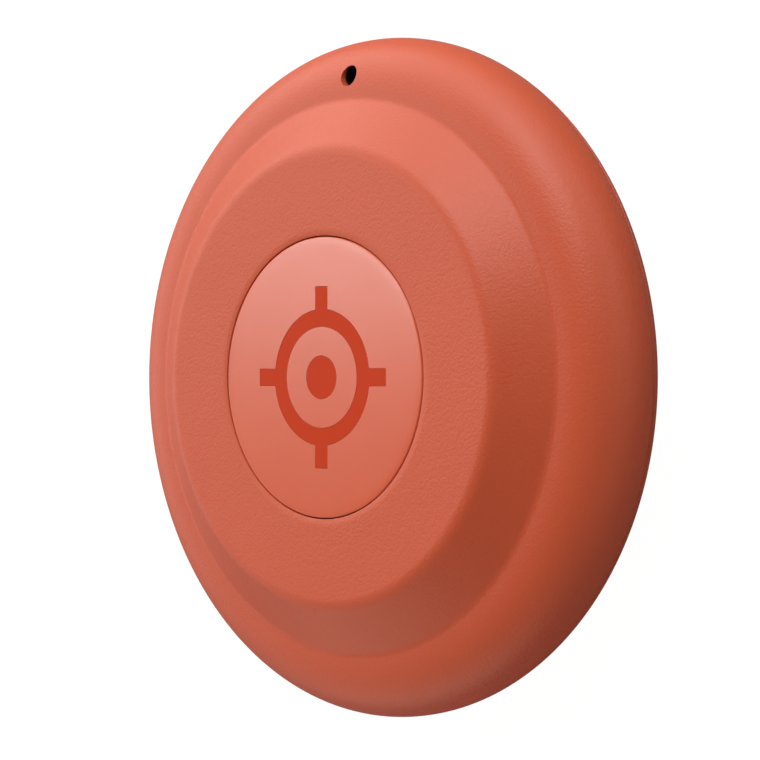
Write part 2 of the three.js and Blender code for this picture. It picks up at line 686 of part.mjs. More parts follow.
function makeButton() {
  const top = DISC_THICKNESS;
  const round = BUTTON_EDGE_RADIUS;
  const skirtInner = buttonRadius - BUTTON_SKIRT;
  const cap = revolve([
    [0, capUnder], [skirtInner, capUnder], [skirtInner, flangeBottom],
    [flangeRadius, flangeBottom], [flangeRadius, flangeTop], [buttonRadius, flangeTop],
    [buttonRadius, top - round], [buttonRadius - round * 0.3, top - round * 0.3],
    [buttonRadius - round, top], [0, top],
  ]);
  const markBottom = top - MARK_DEPTH;
  const recess = markShape(SEAT, markBottom, top + 0.1);
  const dotRecess = rod(MARK_DOT_RADIUS + SEAT, markBottom, top + 0.1, MID_ROUND);
  place('button_cap', carve(cap, [], [recess, dotRecess]), buttonPlastic);
  place('mark_ring', markShape(0, markBottom + SEAT, top - 0.01), markPlastic);
  place('mark_dot', rod(MARK_DOT_RADIUS, markBottom + SEAT, top - 0.01, MID_ROUND), markPlastic);

  const stem = PLUNGER_DIAMETER / 2;
  const head = capUnder - SEAT;
  place('button_plunger', revolve([
    [0, domeTop + SEAT], [stem * 0.8, domeTop + SEAT], [stem, domeTop + 0.2],
    [stem, head - 0.25], [stem + 0.5, head - 0.25], [stem + 0.5, head], [0, head],
  ], SMALL_ROUND + 8), silicone);

  const ring = collar(ringInner, ringOuter, partBase, flangeBottom - SEAT, BIG_ROUND);
  place('return_ring', ring, silicone);
}

makeFrontShell();
makeBackCover();
makeCoverTrim();
makeCell();
makeFrame();
makeScrews();
makeBoard();
makeContacts();
makeBoardParts();
makeSwitch();
makeAntenna();
makeSounder();
makeButton();

export default tag;
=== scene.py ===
"""Looks of the round wireless tracker tag: satin orange-red shells with a fine leather grain,
a smooth push button with an inlaid locating mark, and the cell, board and sounder inside.

Everything is in metres in the part's frame: the tag lies on its back, +Z points out of the
button and +Y points to the sound port. Sizes written in millimetres are turned to metres by MM.
"""

import math

import bmesh
import bpy
import numpy as np
from mathutils import Matrix, Vector


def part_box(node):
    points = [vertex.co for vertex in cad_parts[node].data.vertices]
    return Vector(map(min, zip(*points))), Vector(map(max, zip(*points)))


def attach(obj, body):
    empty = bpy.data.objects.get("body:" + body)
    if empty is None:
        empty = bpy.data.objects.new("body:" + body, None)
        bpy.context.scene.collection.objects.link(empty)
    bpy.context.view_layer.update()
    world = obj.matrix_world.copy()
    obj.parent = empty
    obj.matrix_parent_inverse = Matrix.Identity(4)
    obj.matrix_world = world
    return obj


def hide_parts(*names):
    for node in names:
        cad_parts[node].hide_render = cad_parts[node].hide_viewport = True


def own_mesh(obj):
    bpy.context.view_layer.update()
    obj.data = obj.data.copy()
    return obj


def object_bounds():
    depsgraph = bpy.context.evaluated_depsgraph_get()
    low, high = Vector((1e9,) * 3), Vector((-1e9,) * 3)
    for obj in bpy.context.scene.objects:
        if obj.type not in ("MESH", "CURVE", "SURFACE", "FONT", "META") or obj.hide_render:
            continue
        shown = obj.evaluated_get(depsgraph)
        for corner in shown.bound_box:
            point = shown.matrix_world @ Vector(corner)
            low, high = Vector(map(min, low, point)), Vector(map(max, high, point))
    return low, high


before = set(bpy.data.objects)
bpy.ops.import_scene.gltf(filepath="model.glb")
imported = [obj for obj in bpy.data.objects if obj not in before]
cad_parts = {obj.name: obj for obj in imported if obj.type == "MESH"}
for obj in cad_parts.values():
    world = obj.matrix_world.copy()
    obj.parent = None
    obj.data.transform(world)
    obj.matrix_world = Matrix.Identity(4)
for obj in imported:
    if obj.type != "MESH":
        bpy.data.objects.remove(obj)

cad_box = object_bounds()

MM = 0.001
scene = bpy.context.scene

# ------------ sizes, in millimetres

RIM_RADIUS = cad_box[1].x / MM
THICKNESS = cad_box[1].z / MM
MIDDLE = THICKNESS / 2

FLANGE_WIDTH = 3.04
FLANGE_RISE = 2.38
RIM_SQUARENESS = 2.1
SLOPE_WIDTH = 2.36
FACE_EDGE_RADIUS = 1.15
CREASE_FILLET = 0.22
WALL = 1.0
COVER_FLOOR = 0.75
RIM_WALL = 1.6
PARTING_DROP = 0.6
PARTING_GAP = 0.06
EDGE_BREAK = 0.05
BUTTON_GAP = 0.055
CAP_EDGE = 0.07
MARK_OUTER = 3.15
MARK_STROKE = 0.8
MARK_TICK_REACH = 4.2

CREASE_RADIUS = RIM_RADIUS - FLANGE_WIDTH
FACE_RADIUS = CREASE_RADIUS - SLOPE_WIDTH
SLOPE = math.atan2(MIDDLE - FLANGE_RISE, SLOPE_WIDTH)
SHELL_INNER = RIM_RADIUS - RIM_WALL
SPIGOT_OUTER = SHELL_INNER - 0.25
SPIGOT_INNER = SPIGOT_OUTER - 0.65
SCREW_CIRCLE = SPIGOT_INNER - 1.25
SCREW_ANGLES = (30, 150, 270)
RIB_ANGLES = (60, 180, 300)
SNAP_ANGLES = (45, 135, 225, 315)
SLIT_ANGLES = (0, 180, 270)
FIT = 0.03
CAP_LEDGE = 0.75
PORT_INSET = 1.9
SEAL_HALF = 0.17
GROOVE_HALF = 0.21
GROOVE_DEPTH = 0.34
BOSS_RADIUS = 1.15
PILOT_RADIUS = 0.55
MARK_SINK = 0.004
SHARP_EDGE = 32  # degrees

SHELL_RED = (0.540, 0.0870, 0.0340)
BUTTON_RED = (0.600, 0.1000, 0.0400)
MARK_RED = (0.500, 0.0380, 0.0050)


def low(node):
    """Lowest corner of a CAD node, in millimetres."""
    return np.array(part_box(node)[0]) / MM


def high(node):
    """Highest corner of a CAD node, in millimetres."""
    return np.array(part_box(node)[1]) / MM


BUTTON_RADIUS = high("button_cap")[0] - CAP_LEDGE
PORT_Y = RIM_RADIUS - PORT_INSET
PORT_MOUTH = MIDDLE + 2.23
FRAME_TOP = high("battery_frame")[2]

# ------------ profiles and surfaces


def arc(centre, radius, start, end, count):
    """Points on a circle in the radius-height plane, between two angles in degrees from the radius axis."""
    turn = np.radians(np.linspace(start, end, count))
    return np.column_stack([centre[0] + radius * np.cos(turn), centre[1] + radius * np.sin(turn)])


def rounded(corners, radii, steps=6):
    """A polyline with its inner corners rounded: corner i becomes the quadratic curve between the points
    radii[i] to either side of it, with the corner as its handle."""
    corners = np.asarray(corners, float)
    points = [corners[:1]]
    share = np.linspace(0, 1, steps)[:, None]
    for before, here, after, radius in zip(corners[:-2], corners[1:-1], corners[2:], radii):
        if radius <= 0:
            points.append(here[None])
            continue
        start = here + (before - here) / np.linalg.norm(before - here) * radius
        end = here + (after - here) / np.linalg.norm(after - here) * radius
        points.append((1 - share) ** 2 * start + 2 * share * (1 - share) * here + share ** 2 * end)
    points.append(corners[-1:])
    return np.vstack(points)


def ring_profile(corners, radius, steps=5):
    """A closed outline with every corner rounded alike; its first point isn't repeated."""
    corners = np.asarray(corners, float)
    start = (corners[0] + corners[-1]) / 2
    line = rounded([start, *corners, start], [radius] * len(corners), steps)
    return line[:-1]


def densify(profile, step):
    """The same line with extra points, so that no piece of it is longer than step."""
    parts = []
    for start, end in zip(profile[:-1], profile[1:]):
        count = max(1, int(math.ceil(np.linalg.norm(end - start) / step)))
        parts.append(start + (end - start) * (np.arange(count) / count)[:, None])
    return np.vstack([*parts, profile[-1:]])


def turned(name, profile, around=256, closed=False):
    """A surface of revolution: the point (u, v) has the radius and height of the profile's point u,
    turned about Z by the angle v. A profile that starts or ends on the axis has one pole point there,
    and a closed profile joins its last point to its first. Anticlockwise profiles face outwards."""
    profile = np.asarray(profile, float)
    turn = np.arange(around) * 2 * math.pi / around
    on_axis = profile[:, 0] < 1e-6
    rows = profile[~on_axis]
    grid = np.stack([
        rows[:, 0, None] * np.cos(turn),
        rows[:, 0, None] * np.sin(turn),
        np.repeat(rows[:, 1, None], around, axis=1),
    ], axis=-1)
    verts = grid.reshape(-1, 3)
    index = np.arange(len(rows) * around).reshape(len(rows), around)
    if closed:
        index = np.vstack([index, index[:1]])
    beside = np.roll(index, -1, axis=1)
    quads = np.stack([index[:-1], beside[:-1], beside[1:], index[1:]], axis=-1).reshape(-1, 4)
    faces = quads.tolist()
    if on_axis[0]:
        pole = np.full(around, len(verts))
        verts = np.vstack([verts, [[0, 0, profile[0, 1]]]])
        faces += np.column_stack([pole, beside[0], index[0]]).tolist()
    if on_axis[-1]:
        pole = np.full(around, len(verts))
        verts = np.vstack([verts, [[0, 0, profile[-1, 1]]]])
        faces += np.column_stack([index[-1], beside[-1], pole]).tolist()
    return as_piece(name, verts * MM, faces)


def as_piece(name, verts, faces):
    """A mesh object from points in metres, smooth except across sharp edges."""
    mesh = bpy.data.meshes.new(name)
    mesh.from_pydata(np.asarray(verts, float).tolist(), [], faces)
    piece = bpy.data.objects.new(name, mesh)
    scene.collection.objects.link(piece)
    shade(piece)
    return piece


def shade(piece):
    """Smooth shading with edges over SHARP_EDGE kept sharp."""
    mesh = piece.data
    mesh.polygons.foreach_set("use_smooth", np.ones(len(mesh.polygons), bool))
    mesh.set_sharp_from_angle(angle=math.radians(SHARP_EDGE))
    mesh.update()


def combine(piece, operation, others):
    """The piece joined to, or cut by, other closed pieces, which are used up."""
    for other in others:
        tool = piece.modifiers.new("shape", "BOOLEAN")
        tool.operation = operation
        tool.solver = "EXACT"
        tool.object = other
    graph = bpy.context.evaluated_depsgraph_get()
    mesh = bpy.data.meshes.new_from_object(piece.evaluated_get(graph))
    piece.modifiers.clear()
    piece.data = mesh
    mesh.name = piece.name
    for other in others:
        bpy.data.objects.remove(other)
    shade(piece)
    return piece


def moved(piece, x, y):
    """The piece's mesh shifted sideways, in millimetres."""
    piece.data.transform(Matrix.Translation((x * MM, y * MM, 0)))
    return piece


def settle(piece, body, finish, node):
    """Gives a finished piece its material and the body it rides on, and hides the CAD node it stands for."""
    material, slot = finish
    piece.data.materials.clear()
    piece.data.materials.append(material)
    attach(piece, body)
    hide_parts(node)
    return piece


# ------------ outer form


def rim_section(count):
    """The rim as [radius, distance from the middle plane], from the crease to the widest line: a quarter
    of a superellipse, both halves of its sum raised to RIM_SQUARENESS."""
    turn = np.linspace(math.pi / 2, 0, count)
    out = np.clip(np.cos(turn), 0, 1) ** (2 / RIM_SQUARENESS)
    rise = np.sin(turn) ** (2 / RIM_SQUARENESS)
    return np.column_stack([CREASE_RADIUS + FLANGE_WIDTH * out, FLANGE_RISE * rise])


def boss_section():
    """Face edge, slope and crease as [radius, distance from the middle plane], from the face outwards."""
    reach = FACE_EDGE_RADIUS * math.tan(SLOPE / 2)
    centre = (FACE_RADIUS - reach, MIDDLE - FACE_EDGE_RADIUS)
    edge = arc(centre, FACE_EDGE_RADIUS, 90, 90 - math.degrees(SLOPE), 14)
    crease = (CREASE_RADIUS, FLANGE_RISE)
    level = (CREASE_RADIUS + 2 * CREASE_FILLET, FLANGE_RISE)
    foot = rounded([edge[-1], crease, level], [CREASE_FILLET], 10)
    return np.vstack([edge, foot[1:-1]])


def half_outside(drop):
    """A whole shell half as [radius, distance from the middle plane]: face edge, slope, crease and rim,
    then past the widest line to an open edge at that distance beyond the middle plane."""
    rim = rim_section(56)
    rim = rim[rim[:, 0] > CREASE_RADIUS + CREASE_FILLET + 0.04]
    if drop <= 0:
        return np.vstack([boss_section(), rim[rim[:, 1] > -drop]])
    beyond = np.linspace(drop / 6, drop, 6)
    out = (1 - (beyond / FLANGE_RISE) ** RIM_SQUARENESS) ** (1 / RIM_SQUARENESS)
    past = np.column_stack([CREASE_RADIUS + FLANGE_WIDTH * out, -beyond])
    return np.vstack([boss_section(), rim, past])


INNER_CREASE = np.array([CREASE_RADIUS - WALL * math.tan(SLOPE / 2), FLANGE_RISE - WALL])


def upright(radius, bottom, top, at=(0, 0), around=48):
    """A round bar along Z."""
    profile = [(0, bottom), (radius, bottom), (radius, top), (0, top)]
    return moved(turned("bar", profile, around), *at)


CUBE = np.array([[x, y, z] for x in (0, 1) for y in (0, 1) for z in (0, 1)], float)
CUBE_FACES = [(0, 1, 3, 2), (4, 6, 7, 5), (0, 4, 5, 1), (2, 3, 7, 6), (0, 2, 6, 4), (1, 5, 7, 3)]


def slab(lowest, highest, degrees=0.0, radius=0.0):
    """A box between two corners, in millimetres, then moved out along X and turned about Z."""
    lowest, highest = np.array(lowest, float), np.array(highest, float)
    verts = lowest + CUBE * (highest - lowest)
    verts[:, 0] += radius
    sine, cosine = math.sin(math.radians(degrees)), math.cos(math.radians(degrees))
    verts = np.column_stack([
        verts[:, 0] * cosine - verts[:, 1] * sine,
        verts[:, 0] * sine + verts[:, 1] * cosine,
        verts[:, 2],
    ])
    return as_piece("slab", verts * MM, CUBE_FACES)


def soften(piece, width):
    """Rounds the edges of a piece with a live bevel of that width in millimetres."""
    bevel = piece.modifiers.new("edges", "BEVEL")
    bevel.width = width * MM
    bevel.segments = 2
    bevel.limit_method = "ANGLE"
    bevel.angle_limit = math.radians(35)


# ------------ finishes


def add_node(tree, kind, inputs=(), **settings):
    """A new node: its properties set by name, its inputs linked to other outputs or set to plain values."""
    made = tree.nodes.new(kind)
    for key, value in settings.items():
        setattr(made, key, value)
    for key, value in dict(inputs).items():
        if isinstance(value, bpy.types.NodeSocket):
            tree.links.new(value, made.inputs[key])
        else:
            made.inputs[key].default_value = value
    return made


def add_ranges(tree, value, low_in, high_in, low_out, high_out, kind="SMOOTHSTEP"):
    """Maps one range to another, with soft ends unless the kind is LINEAR."""
    made = add_node(tree, "ShaderNodeMapRange", {
        "Value": value, "From Min": low_in, "From Max": high_in, "To Min": low_out, "To Max": high_out,
    }, interpolation_type=kind)
    return made.outputs["Result"]


class Finish:
    """A material under construction: its shader, and short ways to add pattern nodes to it."""

    def __init__(self, name, colour, roughness, metallic=0.0, specular=0.5):
        self.material = bpy.data.materials.new(name)
        self.material.use_nodes = True
        self.tree = self.material.node_tree
        self.shader = self.tree.nodes["Principled BSDF"]
        for key, value in (("Base Color", (*colour, 1)), ("Roughness", roughness), ("Metallic", metallic),
                           ("Specular IOR Level", specular)):
            self.shader.inputs[key].default_value = value
        self.place = self.node("ShaderNodeTexCoord").outputs["Object"]

    def node(self, kind, inputs=(), **settings):
        """A new node in this material."""
        return add_node(self.tree, kind, inputs, **settings)

    def set(self, socket, source):
        """Lets a pattern drive one of the shader's inputs."""
        self.tree.links.new(source, self.shader.inputs[socket])

    def noise(self, size, detail=2.0, roughness=0.5, place=None):
        """Soft noise, 0 to 1, whose features are about size millimetres wide."""
        return self.node("ShaderNodeTexNoise", {
            "Vector": place or self.place, "Scale": 1 / (size * MM), "Detail": detail, "Roughness": roughness,
        }).outputs["Fac"]

    def cells(self, size, place=None, flat=False, smooth=None):
        """Distance to the nearest cell's middle, with cells about size millimetres wide."""
        inputs = {"Vector": place or self.place, "Scale": 1 / (size * MM)}
        if smooth:
            inputs["Smoothness"] = smooth
        return self.node("ShaderNodeTexVoronoi", inputs, feature="SMOOTH_F1" if smooth else "F1",
                         voronoi_dimensions="2D" if flat else "3D").outputs["Distance"]

    def maths(self, operation, first, second=0.0):
        """One sum on two numbers."""
        return self.node("ShaderNodeMath", {0: first, 1: second}, operation=operation).outputs[0]

    def between(self, value, low_in, high_in, low_out=0.0, high_out=1.0, kind="SMOOTHSTEP"):
        """Maps one range to another."""
        return add_ranges(self.tree, value, low_in, high_in, low_out, high_out, kind)

    def mix(self, share, *colours):
        """One colour or the other."""
        first, second = ((*colour, 1) if isinstance(colour, tuple) else colour for colour in colours)
        inputs = {"Factor": share, "A": first, "B": second}
        return self.node("ShaderNodeMix", inputs, data_type="RGBA").outputs["Result"]

    def stretched(self, x=1.0, y=1.0, z=1.0):
        """Object place with its axes scaled, for brushed or drawn patterns."""
        return self.node("ShaderNodeMapping", {"Vector": self.place, "Scale": (x, y, z)}).outputs["Vector"]

    def axis(self, letter, place=None):
        """One coordinate, in metres."""
        return self.node("ShaderNodeSeparateXYZ", {"Vector": place or self.place}).outputs[letter]

    def distance(self, y=0.0):
        """Distance from the upright line through (0, y), in metres."""
        flat = self.node("ShaderNodeVectorMath", {0: self.place, 1: (1, 1, 0)}, operation="MULTIPLY")
        apart = {0: flat.outputs["Vector"], 1: (0, y, 0)}
        return self.node("ShaderNodeVectorMath", apart, operation="DISTANCE").outputs["Value"]

    def relief(self, height, depth):
        """Bump: height 0 to 1 stands for depth millimetres."""
        bump = self.node("ShaderNodeBump", {"Strength": 1.0, "Distance": depth * MM, "Height": height})
        self.set("Normal", bump.outputs["Normal"])


def shade_of(colour, share):
    """That share of a colour."""
    return tuple(min(1.0, c * share) for c in colour)


def leather_grain(finish, size, depth):
    """Fine pebbled grain: soft cells pushed about by noise, with narrow valleys, and finer noise on top."""
    wander = finish.node("ShaderNodeTexNoise", {
        "Vector": finish.place, "Scale": 1 / (size * 1.6 * MM), "Detail": 1,
    })
    reach = (size * MM,) * 3
    shifted = {0: wander.outputs["Color"], 1: reach, 2: finish.place}
    place = finish.node("ShaderNodeVectorMath", shifted, operation="MULTIPLY_ADD").outputs["Vector"]
    pebble = finish.maths("SUBTRACT", 1.0, finish.cells(size, place, smooth=0.35))
    fine = finish.noise(size * 0.55, 2, 0.6)
    height = finish.maths("ADD", finish.maths("MULTIPLY", pebble, 0.7), finish.maths("MULTIPLY", fine, 0.5))
    finish.relief(height, depth)
    return height


def shell_plastic():
    """Satin moulded plastic with a fine leather grain, and painted shade: the wall deep in the sound port is
    painted near black where the hole's shadow falls.
    """
    made = Finish("shell_plastic", SHELL_RED, 0.43, specular=0.32)
    tone = made.mix(made.noise(4.0, 3), shade_of(SHELL_RED, 0.97), shade_of(SHELL_RED, 1.03))
    # Painted shade: near black painted on the port's wall below its mouth, standing for the shadow deep in
    # the hole.
    inside = made.between(made.distance(PORT_Y * MM), 0.52 * MM, 0.56 * MM, 1.0, 0.0)
    depth = made.between(made.axis("Z"), (PORT_MOUTH - 0.36) * MM, (PORT_MOUTH - 0.20) * MM, 1.0, 0.0)
    made.set("Base Color", made.mix(made.maths("MULTIPLY", inside, depth), tone, (0.006, 0.004, 0.004)))
    grain = leather_grain(made, 0.13, 0.014)
    made.set("Roughness", made.between(grain, 0.2, 0.9, 0.48, 0.38))
    return made.material, "shell_plastic"


def smooth_plastic(name, colour, roughness, grain=0.06, depth=0.0012, specular=0.5, slot=None):
    """Smooth satin plastic: a faint fine ripple and a little drift in colour and gloss."""
    made = Finish(name, colour, roughness, specular=specular)
    made.set("Base Color", made.mix(made.noise(3.0, 3), shade_of(colour, 0.98), shade_of(colour, 1.02)))
    made.relief(made.noise(grain, 3, 0.6), depth)
    made.set("Roughness", made.between(made.noise(1.2, 3), 0.3, 0.7, roughness - 0.008, roughness + 0.008))
    return made.material, slot or name


# ------------ the two shells


def make_front_shell(finish):
    """Front half: outside section, open edge, even inner wall and the hole for the button."""
    hole = BUTTON_RADIUS + BUTTON_GAP
    curl = EDGE_BREAK * 0.15
    half = EDGE_BREAK / 2
    mouth = [(hole, THICKNESS - half), (hole + curl, THICKNESS - curl), (hole + half, THICKNESS)]
    outside = half_outside(PARTING_DROP) + [0, MIDDLE]
    edge = MIDDLE - PARTING_DROP
    outside[-1, 1] += EDGE_BREAK
    inside = [
        (outside[-1, 0] - EDGE_BREAK, edge), (SHELL_INNER + EDGE_BREAK, edge),
        (SHELL_INNER, edge + EDGE_BREAK), (SHELL_INNER, MIDDLE),
        (SHELL_INNER + 0.2, MIDDLE + 0.08), (SHELL_INNER + 0.2, MIDDLE + 0.32),
        (SHELL_INNER, MIDDLE + 0.4), (SHELL_INNER, MIDDLE + 0.95),
        (CREASE_RADIUS + 0.6, MIDDLE + INNER_CREASE[1]), (INNER_CREASE[0], MIDDLE + INNER_CREASE[1]),
        (FACE_RADIUS - WALL * math.tan(SLOPE / 2), THICKNESS - WALL), (hole, THICKNESS - WALL),
    ]
    profile = np.vstack([mouth, outside, inside, mouth[:1]])
    profile = densify(profile, 0.35)[:-1][::-1]
    shell = turned("front_shell_moulding", profile, 320, closed=True)
    combine(shell, "UNION", shell_bosses())
    combine(shell, "DIFFERENCE", shell_holes())
    settle(shell, "case", finish, "front_shell")


def screw_places():
    """Where the screws stand, as [x, y]."""
    turn = np.radians(SCREW_ANGLES)
    return SCREW_CIRCLE * np.column_stack([np.cos(turn), np.sin(turn)])


def shell_bosses():
    """Inside the shell: screw bosses, ribs over the board and the block round the sound port."""
    top = MIDDLE + FLANGE_RISE - 0.3
    joined = [upright(BOSS_RADIUS, FRAME_TOP + FIT, top, at) for at in screw_places()]
    board = high("main_board")
    for angle in RIB_ANGLES:
        foot, head = (-0.35, -0.45, board[2] + FIT), (0.35, 0.45, THICKNESS - 0.7)
        joined.append(slab(foot, head, angle, board[0] - 0.5))
    seat = high("port_gasket")[2] + FIT
    joined.append(slab((-1.7, PORT_Y - 2, seat), (1.7, SHELL_INNER + 0.2, seat + 0.9)))
    return joined


def shell_holes():
    """What is bored out of the shell: the screws' pilot holes and the sound port."""
    removed = [upright(PILOT_RADIUS, FRAME_TOP - 0.2, FRAME_TOP + 1.3, at, 32) for at in screw_places()]
    port = high("port_mesh")[0] + 0.05
    removed.append(upright(port, FRAME_TOP + 0.2, THICKNESS, (0, PORT_Y), 96))
    return removed


def make_back_cover(finish):
    """Rear half: the mirrored outside, a shoulder with the seal's groove, and a standing ring cut into
    fingers with snap beads, a pocket for the sounder and a notch to pry it open."""
    outside = half_outside(-PARTING_DROP - PARTING_GAP) * [1, -1] + [0, MIDDLE]
    edge = MIDDLE - PARTING_DROP - PARTING_GAP
    seal = -low("rim_seal")[0] - SEAL_HALF
    top = high("back_cover")[2]
    inside = np.array([
        (outside[-1, 0], edge - EDGE_BREAK), (outside[-1, 0] - EDGE_BREAK, edge),
        (seal + GROOVE_HALF, edge), (seal + GROOVE_HALF, edge - GROOVE_DEPTH),
        (seal - GROOVE_HALF, edge - GROOVE_DEPTH), (seal - GROOVE_HALF, edge),
        (SPIGOT_OUTER, edge), (SPIGOT_OUTER, top - 0.12), (SPIGOT_OUTER - 0.12, top),
        (SPIGOT_INNER + 0.05, top), (SPIGOT_INNER, top - 0.05),
        (SPIGOT_INNER, MIDDLE - INNER_CREASE[1] + 0.1), (SPIGOT_INNER - 0.1, MIDDLE - INNER_CREASE[1]),
        (INNER_CREASE[0], MIDDLE - INNER_CREASE[1]),
        (FACE_RADIUS - COVER_FLOOR * math.tan(SLOPE / 2), COVER_FLOOR),
    ])
    outside = outside[outside[:, 1] < edge - 2 * EDGE_BREAK]
    under = [(0, 0), (2, 0), (4, 0), (6, 0), (8, 0)]
    floor = [(8, COVER_FLOOR), (4, COVER_FLOOR), (0, COVER_FLOOR)]
    profile = densify(np.vstack([under, outside, inside, floor]), 0.4)
    cover = turned("back_cover_moulding", profile, 320)
    level = MIDDLE + 0.08
    beads = [turned_arc(SPIGOT_OUTER - 0.2, SPIGOT_OUTER + 0.18, level, level + 0.24, a - 6, a + 6)
             for a in SNAP_ANGLES]
    combine(cover, "UNION", beads)
    cuts = [slab((SPIGOT_INNER - 0.3, -0.6, edge + 0.15), (SPIGOT_OUTER + 0.15, 0.6, top + 0.2), a)
            for a in SLIT_ANGLES]
    box_low, box_high = low("sounder_case"), high("sounder_case")
    cuts.append(slab((box_low[0] - 0.3, box_low[1], box_low[2] - 0.1),
                     (box_high[0] + 0.3, SPIGOT_OUTER + 0.08, top + 0.2)))
    cuts.append(slab((-1.6, -RIM_RADIUS - 0.2, edge - 0.5), (1.6, -RIM_RADIUS + 0.75, edge + 0.2)))
    combine(cover, "DIFFERENCE", cuts)
    settle(cover, "back_cover", finish, "back_cover")


def turned_arc(inner, outer, bottom, top, start, end, count=12):
    """A short stretch of a rectangular ring between two angles, with its outer edges sloped off."""
    section = np.array([(inner, bottom), (outer - 0.08, bottom), (outer, bottom + 0.08),
                        (outer, top - 0.08), (outer - 0.08, top), (inner, top)])
    turn = np.radians(np.linspace(start, end, count))[:, None]
    out, level = section.T
    grid = np.stack([out * np.cos(turn), out * np.sin(turn), level + 0 * turn], axis=-1)
    size = len(section)
    index = np.arange(count * size).reshape(count, size)
    across = np.roll(index, -1, axis=1)
    quads = np.stack([index[:-1], across[:-1], across[1:], index[1:]], axis=-1).reshape(-1, 4)
    faces = quads[:, ::-1].tolist() + [index[0].tolist(), index[-1, ::-1].tolist()]
    return outward(as_piece("arc", grid.reshape(-1, 3) * MM, faces))


def outward(piece):
    """Turns a closed piece's faces outwards."""
    work = bmesh.new()
    work.from_mesh(piece.data)
    bmesh.ops.recalc_face_normals(work, faces=work.faces)
    work.to_mesh(piece.data)
    work.free()
    return piece


# ------------ button


def make_button_cap(finish):
    """Push button: flat top with a rounded edge, a skirt with a ledge that keeps it in, and a recess."""
    top, under, bottom = THICKNESS, THICKNESS - 0.9, low("button_cap")[2]
    ledge_top = high("front_shell")[2] - WALL - FIT
    ledge = high("button_cap")[0]
    edge = arc((BUTTON_RADIUS - CAP_EDGE, top - CAP_EDGE), CAP_EDGE, 0, 90, 9)
    profile = np.vstack([
        [(0, under), (3, under), (BUTTON_RADIUS - 0.6, under), (BUTTON_RADIUS - 0.6, bottom),
         (ledge - 0.05, bottom), (ledge, bottom + 0.05), (ledge, ledge_top), (BUTTON_RADIUS, ledge_top)],
        edge, [(5, top), (0, top)],
    ])
    cap = turned("button_cap_moulding", densify(profile, 0.4), 320)
    combine(cap, "DIFFERENCE", mark_recess())
    settle(cap, "button", finish, "button_cap")


def mark_outline(grow, around=720):
    """Outer edge of the locating mark as radii at even angles: the larger of the circle's and a tick's,
    where a tick reaches to its flat end or its straight side, whichever is nearer."""
    angle = np.arange(around) * 2 * math.pi / around
    off_tick = (angle + math.pi / 4) % (math.pi / 2) - math.pi / 4
    half = MARK_STROKE / 2 + grow
    end = (MARK_TICK_REACH + grow) / np.cos(off_tick)
    side = half / np.maximum(np.abs(np.sin(off_tick)), 1e-6)
    return angle, np.maximum(np.minimum(end, side), MARK_OUTER + grow)


def mark_solid(name, grow, bottom, top):
    """The ring with its ticks as a closed band: outer edge from mark_outline, inner edge a circle."""
    angle, outer = mark_outline(grow)
    inner = np.full_like(outer, MARK_OUTER - MARK_STROKE - grow)
    radii = np.stack([inner, outer, outer, inner])
    levels = np.array([bottom, bottom, top, top])[:, None] + 0 * angle
    grid = np.stack([radii * np.cos(angle), radii * np.sin(angle), levels], axis=-1)
    index = np.arange(grid.shape[0] * grid.shape[1]).reshape(grid.shape[:2])
    above, beside = np.roll(index, -1, axis=0), np.roll(index, -1, axis=1)
    corner = np.roll(above, -1, axis=1)
    quads = np.stack([index, beside, corner, above], axis=-1).reshape(-1, 4)
    return outward(as_piece(name, grid.reshape(-1, 3) * MM, quads.tolist()))


def make_mark(finish):
    """The inlaid ring and dot, flush with the cap."""
    bottom, top = low("mark_ring")[2], THICKNESS - MARK_SINK
    settle(mark_solid("mark_ring_inlay", 0.0, bottom, top), "button", finish, "mark_ring")
    radius = high("mark_dot")[0]
    dot = turned("mark_dot_inlay", [(0, bottom), (radius, bottom), (radius, top), (0, top)], 128)
    settle(dot, "button", finish, "mark_dot")


def mark_recess():
    """What the mark's recess takes out of the cap."""
    gap = 0.012
    bottom = low("mark_ring")[2] - 0.03
    recess = mark_solid("recess", gap, bottom, THICKNESS + 0.2)
    dot = upright(high("mark_dot")[0] + gap, bottom, THICKNESS + 0.2, around=128)
    return recess, dot


# ------------ finishes of the inner parts


def two_part(name, colour, roughness, slot, plate=(0.62, 0.60, 0.57), plate_roughness=0.3):
    """A moulded body with plated ends or feet: the pieces' own "plated" number picks one or the other."""
    made = Finish(name, colour, roughness)
    mask = made.node("ShaderNodeAttribute", attribute_name="plated").outputs["Fac"]
    mask = made.between(mask, 0.4, 0.6)
    speck = made.noise(0.06, 3)
    body = made.mix(speck, shade_of(colour, 0.85), shade_of(colour, 1.15))
    metal = made.mix(made.noise(0.15, 3), shade_of(plate, 0.9), plate)
    made.set("Base Color", made.mix(mask, body, metal))
    made.set("Metallic", mask)
    drift = made.between(made.noise(0.4, 3), 0.3, 0.7, -0.05, 0.05)
    level = made.between(mask, 0, 1, roughness, plate_roughness, "LINEAR")
    made.set("Roughness", made.maths("ADD", level, drift))
    made.relief(speck, 0.003)
    return made.material, slot


def brushed(name, colour, roughness, slot=None):
    """Rolled sheet metal: fine lines one way, with patches of duller surface."""
    made = Finish(name, colour, roughness, metallic=1.0)
    lines = made.noise(0.03, 3, 0.6, place=made.stretched(1.0, 0.04, 0.5))
    made.set("Base Color", made.mix(lines, shade_of(colour, 0.86), colour))
    along = made.between(lines, 0.2, 0.8, -0.05, 0.06)
    patches = made.between(made.noise(1.5, 3), 0.3, 0.7, -0.04, 0.04)
    made.set("Roughness", made.maths("ADD", made.maths("ADD", along, patches), roughness))
    made.relief(lines, 0.0008)
    return made.material, slot or name


